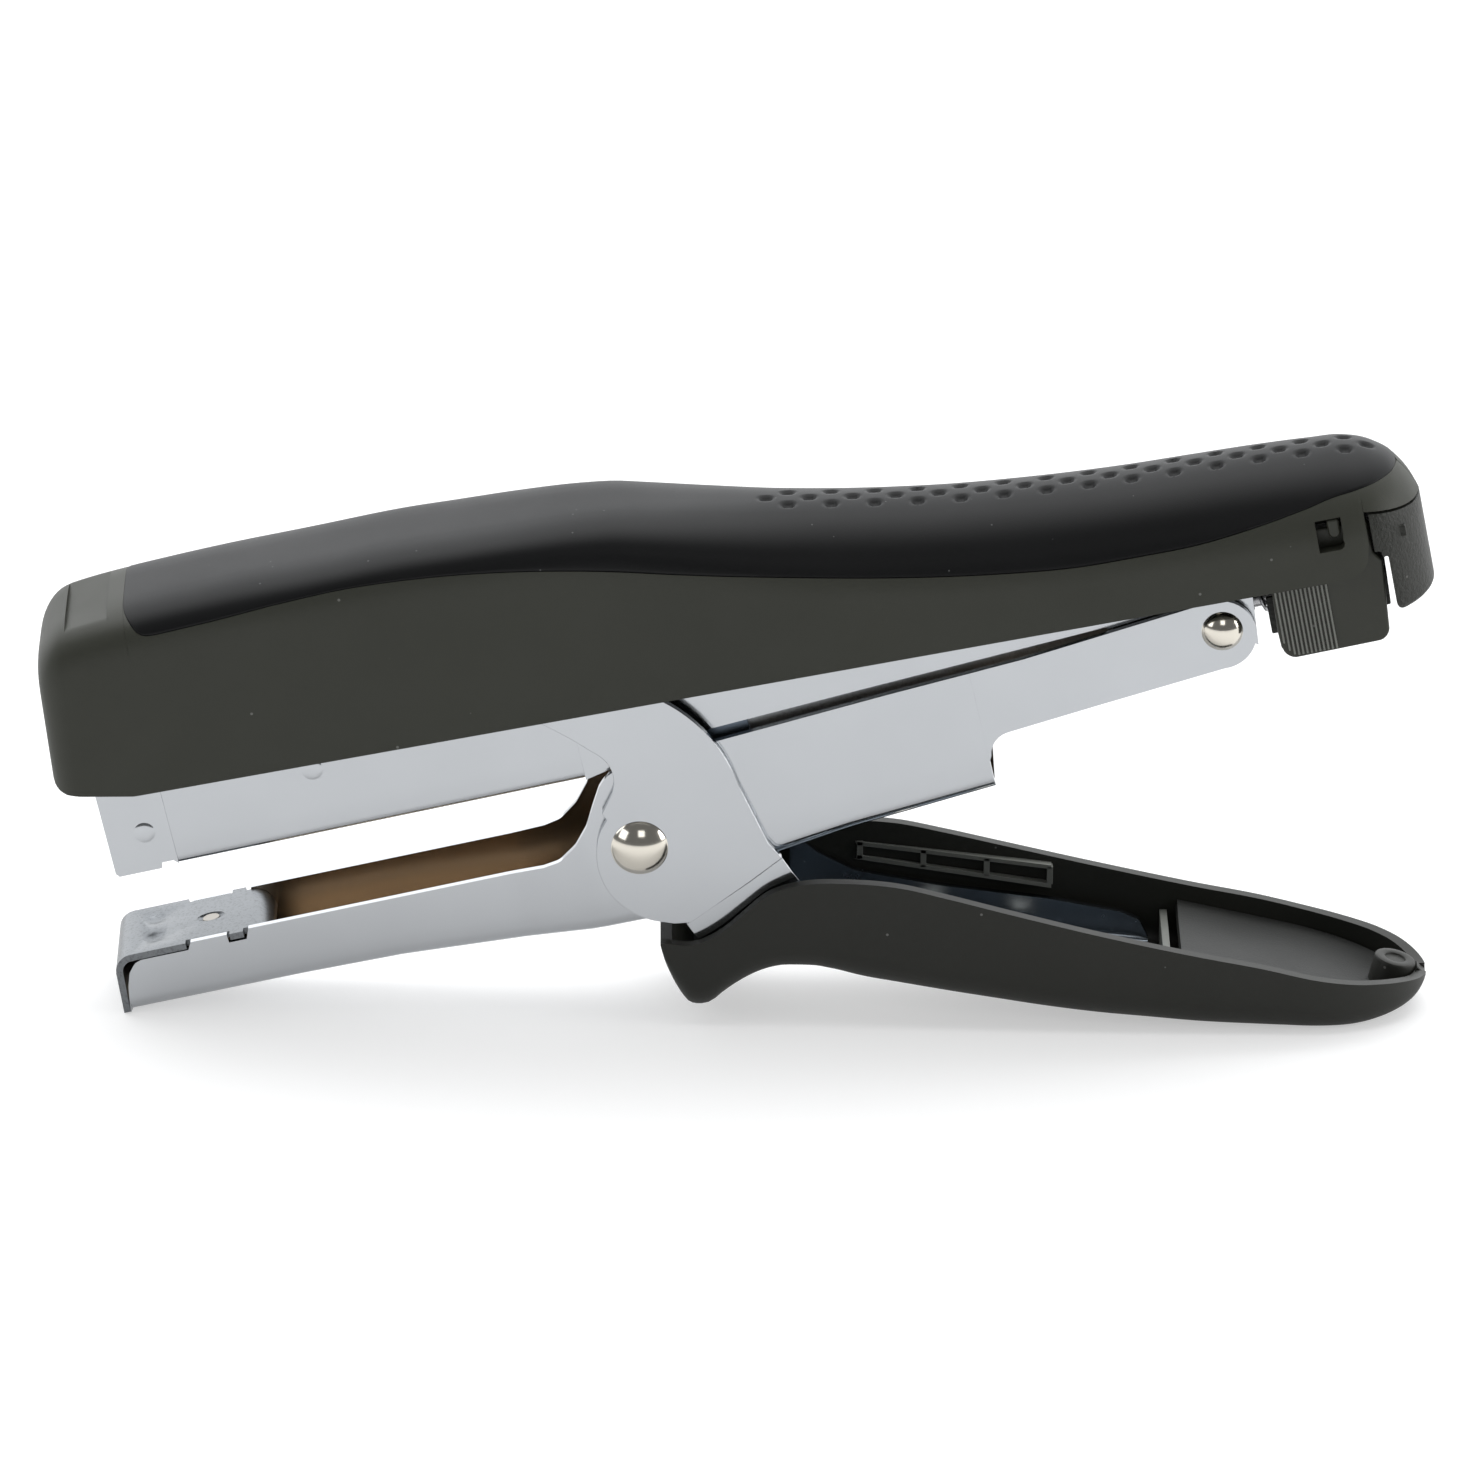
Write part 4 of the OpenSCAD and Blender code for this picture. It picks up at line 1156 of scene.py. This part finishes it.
ARM_LOW = line(
    [
        (-155.8, -22.3), (-132, -22.4), (-118, -22.7), (-105, -23.6), (-92, -24.5), (-84, -24.6),
        (-79, -23.9), (-74, -22.2), (-65.3, -18.9), (-54.8, -17.5), (-34.4, -15.9),
    ]
)  # fmt: skip
ARM_TOP = line(
    [
        (-155.8, -22.1), (-155.3, -18.6), (-154.6, -16.5), (-153.6, -15.3), (-152.6, -14.95),
        (-146, -14.95), (-145.5, -13.9), (-140.45, -13.9), (-140.4, -15.1), (-137.95, -15.1),
        (-137.4, -13.65), (-96.4, -13.7), (-94.1, -13.3), (-91.5, -11.5), (-89.4, -9),
        (-87.9, -6.2), (-86.4, -3.6), (-85.2, -2.4), (-83.5, -1.6), (-80, -1), (-69.9, -0.6),
        (-46.1, 0.9), (-34.35, 1.5),
    ]
)  # fmt: skip


def make_arm():
    """The anvil arm: a bent channel to the step behind the throat, then two flat cheeks."""
    u = np.unique(
        np.concatenate(
            [
                np.linspace(-155.8, -152.6, 12), np.linspace(-152, -97, 40),
                [-146.02, -145.5, -140.45, -140.4, -137.95, -137.4],
                np.linspace(-96.4, -80, 34), np.linspace(-79, -34.35, 32),
            ]
        )
    )  # fmt: skip
    half = np.interp(u, [-101, -90], [JAW_HALF, ARM_HALF])
    body = Shape()
    channel(body, ARM, u, ARM_TOP(u), ARM_LOW(u), half, 2.1, ARM_SHEET)
    cheek = [
        [(-34.35, 1.5), (-34.35, -11.6)], arc(-30.8, -11.2, 3.2, 175, 95, 6), [(-17.7, -6.8)],
        arc(-0.4, -0.5, 4.9, -95, 95, 20), [(-26.8, 1.9)],
    ]  # fmt: skip
    body.plates(ARM, np.concatenate(cheek), ARM_HALF - ARM_SHEET, ARM_HALF - 0.01)
    arm = body.build("anvil_arm_body", 30)
    soften(arm, 0.1, 2, 45)
    finish(arm, "arm", "anvil_arm", MATERIALS["chrome_plate"])
    # The trough's inner walls and floor get the brown plating: painted reflection.
    paint_inside_light(arm, MATERIALS["trough_plate"], 6.4)

    cap = refine("anvil_cap", "arm", MATERIALS["cap_zinc"], 0)
    lens = Shape()
    a = np.linspace(0, 2 * np.pi, 28, endpoint=False)[None, :]
    b = np.linspace(0.05, np.pi - 0.05, 12)[:, None]
    u = -142.9 + 1.9 * np.sin(b) * np.cos(a)
    y = 1.35 * np.sin(b) * np.sin(a)
    lens.tube(ARM.place(u, y, -13.9 + 0.5 * np.cos(b)))
    carve(cap, lens.build("cutter"))
    cap.data.materials.clear()
    cap.data.materials.append(MATERIALS["cap_zinc"])
    soften(cap, 0.14, 2, 35)


def make_lever():
    """The lever: two cheeks with a rolled lower flank, then a bent channel inside the handle."""
    u = np.linspace(20.5, 69.6, 40)
    low = np.interp(u, [18, 24, 35, 55, 69.7], [-14.3, -15.4, -17.6, -20.9, -22.4])
    rim = line(
        [
            (20.5, -6), (21.6, -6.2), (24.5, -8.6), (29.7, -11.2), (41.4, -13.3), (56.3, -15.2),
            (65.9, -17.1), (68.5, -18.3), (69.7, -21),
        ]
    )  # fmt: skip
    body = Shape()
    channel(body, LEVER, u, rim(u), low, np.full(40, LEVER_HALF), 2.0, LEVER_SHEET)
    tail = body.build("lever_tail", 30)
    soften(tail, 0.14, 2, 45)
    # The tail's darker bluish plating is a painted dark reflection of the handle's inside.
    finish(tail, "lever", "lower_lever", MATERIALS["tail_plate"])

    body = Shape()
    cheek = [
        arc(-16.9, 25.5, 4.4, 60, 250, 20), [(-13.3, 18), (-9.5, 15.9)],
        arc(-8.4, 9.4, 4.9, 65, -20, 10), [(-5.1, 4.9)], arc(4.2, -1, 10, 150, 262, 24),
        [(4.8, -11.2), (7, -11), (14.8, -5), (19.2, -1.4), (17.3, 0.8), (13.5, 8.7)],
        arc(-7.4, 2.2, 21.8, 20, 62, 20),
    ]  # fmt: skip
    body.plates(LEVER, np.concatenate(cheek), LEVER_HALF - LEVER_SHEET, LEVER_HALF)
    along = np.linspace(0, 1, 14)[:, None]
    turn = np.linspace(0, np.pi / 2, 10)[None, :]
    for side in (-1, 1):
        faces = []
        for inset in (0, 0.3):
            deep = 4.6 - inset
            x = np.interp(along, [0, 0.6, 1], [6.4, 14.8, 19.2]) + deep * np.sin(turn) * 0.55
            z = np.interp(along, [0, 0.6, 1], [-11.2, -5.02, -1.4]) - deep * np.sin(turn) * 0.83
            y = side * (9.58 - inset - (1 - inset) * (1 - np.cos(turn)) + 0 * x)
            faces.append(LEVER.place(x, y, z))
        body.shell(*faces)
    lever = body.build("lever_body", 30)
    soften(lever, 0.25, 3, 45)
    finish(lever, "lever", "lower_lever", MATERIALS["lever_plate"])


PLAIN = (
    ("driver_blade", "blued_steel"),
    ("driver_rivets", "nickel"),
    ("drive_pin", "nickel"),
    ("drive_rollers", "zinc_steel"),
    ("cover_pivot_pin", "nickel"),
    ("frame_screws", "zinc_steel"),
    ("guide_rod", "spring_steel"),
)


def make_frame():
    """The pressed frame and spacer are finished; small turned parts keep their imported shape."""
    refine("upper_frame", "upper", MATERIALS["zinc_steel"], 0.2)
    refine("centre_spacer", "arm", MATERIALS["zinc_steel"], 0.2)
    for node, slot in PLAIN:
        part = frame["nodes"][node]
        part.data.materials.clear()
        part.data.materials.append(MATERIALS[slot])


# ---- studio ----


def add_light(name, place, aim, size, power):
    """A rectangular area light that looks at a point; places and sizes are in metres."""
    light = bpy.data.lights.new(name, "AREA")
    light.shape = "RECTANGLE"
    light.size, light.size_y = size
    light.energy = power
    lamp = bpy.data.objects.new(name, light)
    lamp.location = place
    lamp.rotation_euler = (Vector(aim) - Vector(place)).to_track_quat("-Z", "Y").to_euler()
    bpy.context.scene.collection.objects.link(lamp)


def make_world():
    """Sky: bright behind the object near the horizon, dim above and behind the camera."""
    world = bpy.data.worlds.new("studio")
    bpy.context.scene.world = world
    world.use_nodes = True
    nodes, links = world.node_tree.nodes, world.node_tree.links
    place = nodes.new("ShaderNodeTexCoord")
    split = nodes.new("ShaderNodeSeparateXYZ")
    links.new(place.outputs["Generated"], split.inputs[0])
    back = nodes.new("ShaderNodeMapRange")
    back.interpolation_type = "SMOOTHSTEP"
    links.new(split.outputs["Y"], back.inputs["Value"])
    back.inputs["From Min"].default_value = -0.15
    back.inputs["From Max"].default_value = 0.55
    back.inputs["To Min"].default_value = stapler_stage().front_sky
    back.inputs["To Max"].default_value = stapler_stage().back_sky
    sky = nodes["Background"]
    links.new(back.outputs[0], sky.inputs["Strength"])
    sky.inputs["Color"].default_value = (0.97, 0.985, 1.0, 1)


def make_floor():
    """A wide pale floor; it glows less for the object's reflections than for the camera."""
    shape = Shape()
    side = np.linspace(-4000, 4000, 9)
    x, y = np.meshgrid(side, side, indexing="ij")
    shape.grid(np.stack([x, y, np.full_like(x, -0.02)], -1))
    floor = shape.build("floor")
    if floor.data.polygons[0].normal.z < 0:
        floor.data.flip_normals()
    f = Finish(
        "pale floor",
        Roughness=0.8,
        Specular_IOR_Level=0.1,
        Emission_Strength=0.46,
    )
    f.feed("Base Color", f.mix(f.noise(220), (0.59, 0.59, 0.59), (0.61, 0.61, 0.61)))
    seen = f.node("ShaderNodeLightPath", {}, {})
    f.feed("Emission Color", f.mix(seen, (0.6, 0.6, 0.6), (1.0, 1.0, 1.0)))
    floor.data.materials.append(f.material)


def make_camera():
    """Long lens from the left-hand side, a little above; the view is turned a touch."""
    view = stapler_stage()
    target = Vector(view.target)
    turn, rise = math.radians(view.azimuth), math.radians(view.elevation)
    flat = math.cos(rise)
    away = Vector((math.sin(turn) * flat, -math.cos(turn) * flat, math.sin(rise)))
    data = bpy.data.cameras.new("camera")
    data.lens = view.lens
    data.sensor_width = 36
    data.clip_end = 20
    camera = bpy.data.objects.new("camera", data)
    camera.location = target + away * view.distance
    facing = (-away).to_track_quat("-Z", "Y").to_matrix().to_4x4()
    camera.matrix_world = Matrix.Translation(camera.location) @ facing @ Matrix.Rotation(
        math.radians(view.roll), 4, "Z"
    )
    bpy.context.scene.collection.objects.link(camera)
    bpy.context.scene.camera = camera


def stapler_stage():
    return bpy.context.scene.stapler_stage


# ---- settings, buttons and panel ----


def size_prop(name, text, default, low, high):
    return FloatProperty(name=name, description=text, default=default, min=low, max=high)


def colour_prop(name, text, default):
    return FloatVectorProperty(
        name=name, description=text, default=default, size=3, min=0, max=1, subtype="COLOR"
    )


class StaplerSizes(bpy.types.PropertyGroup):
    """Sizes of the finished surfaces, in millimetres."""

    cover_half: size_prop("Cover half width", "Half width of the cover, mm", 12.0, 11, 12.2)
    panel_depth: size_prop("Nose panel", "Depth of the flat panel on the nose, mm", 0.56, 0.1, 1)
    dimple_size: size_prop("Dimple size", "Diameter of a grip dimple, mm", 2.17, 1, 3)
    dimple_depth: size_prop("Dimple depth", "Depth of a grip dimple, mm", 0.6, 0.1, 0.9)
    dimple_pitch: size_prop("Dimple pitch", "Spacing of dimples along a row, mm", 5.73, 4, 8)
    dimple_start: size_prop("First dimple", "Start of the middle dimple row, mm", -57.0, -70, -40)
    strip_length: size_prop("Staple strip", "Length of the staple strip, mm", 74.0, 20, 74)
    staple_pitch: size_prop("Staple pitch", "Thickness of one staple, mm", 0.72, 0.5, 1)
    centre_head: size_prop("Centre rivet", "Head radius of the centre rivet, mm", 3.85, 3, 4.2)
    rear_head: size_prop("Rear rivet", "Head radius of the rear rivets, mm", 2.85, 2, 3.2)
    tip_hole: size_prop("Tip hole", "Diameter of the hanging hole, mm", 2.7, 2, 3.2)
    tab_ribs: IntProperty(
        name="Tab ribs", description="Number of ribs on a release tab", default=13, min=6, max=14
    )


class StaplerColours(bpy.types.PropertyGroup):
    """Base colours of the finishes."""

    cover: colour_prop("Cover", "Olive charcoal of the cover", (0.0265, 0.028, 0.0195))
    handle: colour_prop("Handle", "Olive charcoal of the handle", (0.0175, 0.018, 0.0145))
    rubber: colour_prop("Grip", "Black of the grip rubber", (0.0025, 0.0027, 0.003))
    plug: colour_prop("Plug", "Grained olive of the rear plug", (0.018, 0.019, 0.015))
    plate: colour_prop("Plating", "Bright plating of the arm and magazine", (0.50, 0.515, 0.535))


class StaplerStage(bpy.types.PropertyGroup):
    """Camera and light."""

    target: FloatVectorProperty(
        name="Target",
        description="Point at the middle of the picture",
        default=(-0.0003, 0, 0.03835),
        size=3,
        subtype="XYZ_LENGTH",
        unit="LENGTH",
    )
    distance: FloatProperty(
        name="Distance", description="Camera to target", default=1.65, min=0.5, max=4, unit="LENGTH"
    )
    lens: size_prop("Lens", "Focal length on a 36 mm sensor, mm", 299.3, 50, 500)
    azimuth: size_prop("Azimuth", "Turn of the camera about the vertical, degrees", -0.6, -180, 180)
    elevation: size_prop("Elevation", "Height of the camera, degrees", 23.0, 0, 89)
    roll: size_prop("Roll", "Turn of the picture, degrees", 0.56, -5, 5)
    front_sky: size_prop("Front sky", "Brightness behind the camera", 0.16, 0, 3)
    back_sky: size_prop("Back sky", "Brightness behind the object", 2.0, 0, 4)
    softbox: size_prop("Softbox", "Power of the overhead softbox, watts", 11.0, 0, 100)


class Build(bpy.types.Operator):
    """Shared base: runs one builder."""

    bl_options = {"REGISTER", "UNDO"}

    def execute(self, context):
        self.build()
        return {"FINISHED"}


class STAPLER_OT_finishes(Build):
    """Make every finish"""

    bl_idname = "stapler.finishes"
    bl_label = "Finishes"

    def build(self):
        make_materials(colours())


class STAPLER_OT_cover(Build):
    """Make the moulded cover"""

    bl_idname = "stapler.cover"
    bl_label = "Cover"

    def build(self):
        make_cover()


class STAPLER_OT_grip(Build):
    """Make the dimpled rubber grip"""

    bl_idname = "stapler.grip"
    bl_label = "Rubber grip"

    def build(self):
        make_grip()


class STAPLER_OT_plug(Build):
    """Make the rear plug that draws the magazine's spring"""

    bl_idname = "stapler.plug"
    bl_label = "Rear plug"

    def build(self):
        make_plug()


class STAPLER_OT_tabs(Build):
    """Make the two ribbed release tabs"""

    bl_idname = "stapler.tabs"
    bl_label = "Release tabs"

    def build(self):
        make_tab("left_release_tab", "left_tab", -1)
        make_tab("right_release_tab", "right_tab", 1)


class STAPLER_OT_magazine(Build):
    """Finish the magazine channel, rail and follower"""

    bl_idname = "stapler.magazine"
    bl_label = "Magazine"

    def build(self):
        make_magazine()


class STAPLER_OT_staples(Build):
    """Make the strip of staples"""

    bl_idname = "stapler.staples"
    bl_label = "Staples"

    def build(self):
        make_staples()


class STAPLER_OT_springs(Build):
    """Wind the three springs"""

    bl_idname = "stapler.springs"
    bl_label = "Springs"

    def build(self):
        make_springs()


class STAPLER_OT_frame(Build):
    """Finish the inner frame and the small turned parts"""

    bl_idname = "stapler.frame"
    bl_label = "Inner frame"

    def build(self):
        make_frame()


class STAPLER_OT_arm(Build):
    """Finish the anvil arm and its cap"""

    bl_idname = "stapler.arm"
    bl_label = "Anvil arm"

    def build(self):
        make_arm()


class STAPLER_OT_rivets(Build):
    """Make the domed rivets"""

    bl_idname = "stapler.rivets"
    bl_label = "Rivets"

    def build(self):
        make_rivets()


class STAPLER_OT_lever(Build):
    """Finish the pressed lever"""

    bl_idname = "stapler.lever"
    bl_label = "Lever"

    def build(self):
        make_lever()


class STAPLER_OT_handle(Build):
    """Make the trough-shaped lower handle"""

    bl_idname = "stapler.handle"
    bl_label = "Lower handle"

    def build(self):
        make_handle()


class STAPLER_OT_stage(Build):
    """Set up floor, lights, sky and camera"""

    bl_idname = "stapler.stage"
    bl_label = "Studio"

    def build(self):
        make_floor()
        make_world()
        add_light("softbox", (0.0, 0.25, 1.3), (0, 0, 0), (1.5, 1.2), stapler_stage().softbox)
        add_light("left card", (-0.9, -0.5, 0.5), (0, 0, 0.03), (0.5, 0.5), 1.6)
        add_light("front fill", (0.1, -0.9, 0.75), (0.04, 0, 0.02), (0.4, 0.4), 0.8)
        add_light("rear card", (1.1, -0.15, 0.35), (0.09, 0, 0.06), (0.35, 0.5), 4.0)
        make_camera()
        bpy.context.scene.view_settings.view_transform = "Standard"


OPERATORS = (
    STAPLER_OT_finishes,
    STAPLER_OT_cover,
    STAPLER_OT_grip,
    STAPLER_OT_plug,
    STAPLER_OT_tabs,
    STAPLER_OT_magazine,
    STAPLER_OT_staples,
    STAPLER_OT_springs,
    STAPLER_OT_frame,
    STAPLER_OT_arm,
    STAPLER_OT_rivets,
    STAPLER_OT_lever,
    STAPLER_OT_handle,
    STAPLER_OT_stage,
)


class STAPLER_PT_panel(bpy.types.Panel):
    """Buttons and settings in the 3D view's sidebar"""

    bl_label = "Plier stapler"
    bl_idname = "STAPLER_PT_panel"
    bl_space_type = "VIEW_3D"
    bl_region_type = "UI"
    bl_category = "Stapler"

    def draw(self, context):
        for group in (stapler(), colours(), stapler_stage()):
            for key in group.__annotations__:
                self.layout.prop(group, key)
        for operator in OPERATORS:
            self.layout.operator(operator.bl_idname)


CLASSES = (StaplerSizes, StaplerColours, StaplerStage, *OPERATORS, STAPLER_PT_panel)


def register():
    for cls in CLASSES:
        bpy.utils.register_class(cls)
    bpy.types.Scene.stapler = PointerProperty(type=StaplerSizes)
    bpy.types.Scene.stapler_colours = PointerProperty(type=StaplerColours)
    bpy.types.Scene.stapler_stage = PointerProperty(type=StaplerStage)


def unregister():
    del bpy.types.Scene.stapler
    del bpy.types.Scene.stapler_colours
    del bpy.types.Scene.stapler_stage
    for cls in reversed(CLASSES):
        bpy.utils.unregister_class(cls)


def main():
    register()
    for operator in OPERATORS:
        group, name = operator.bl_idname.split(".")
        getattr(getattr(bpy.ops, group), name)()


if __name__ == "__main__":
    main()
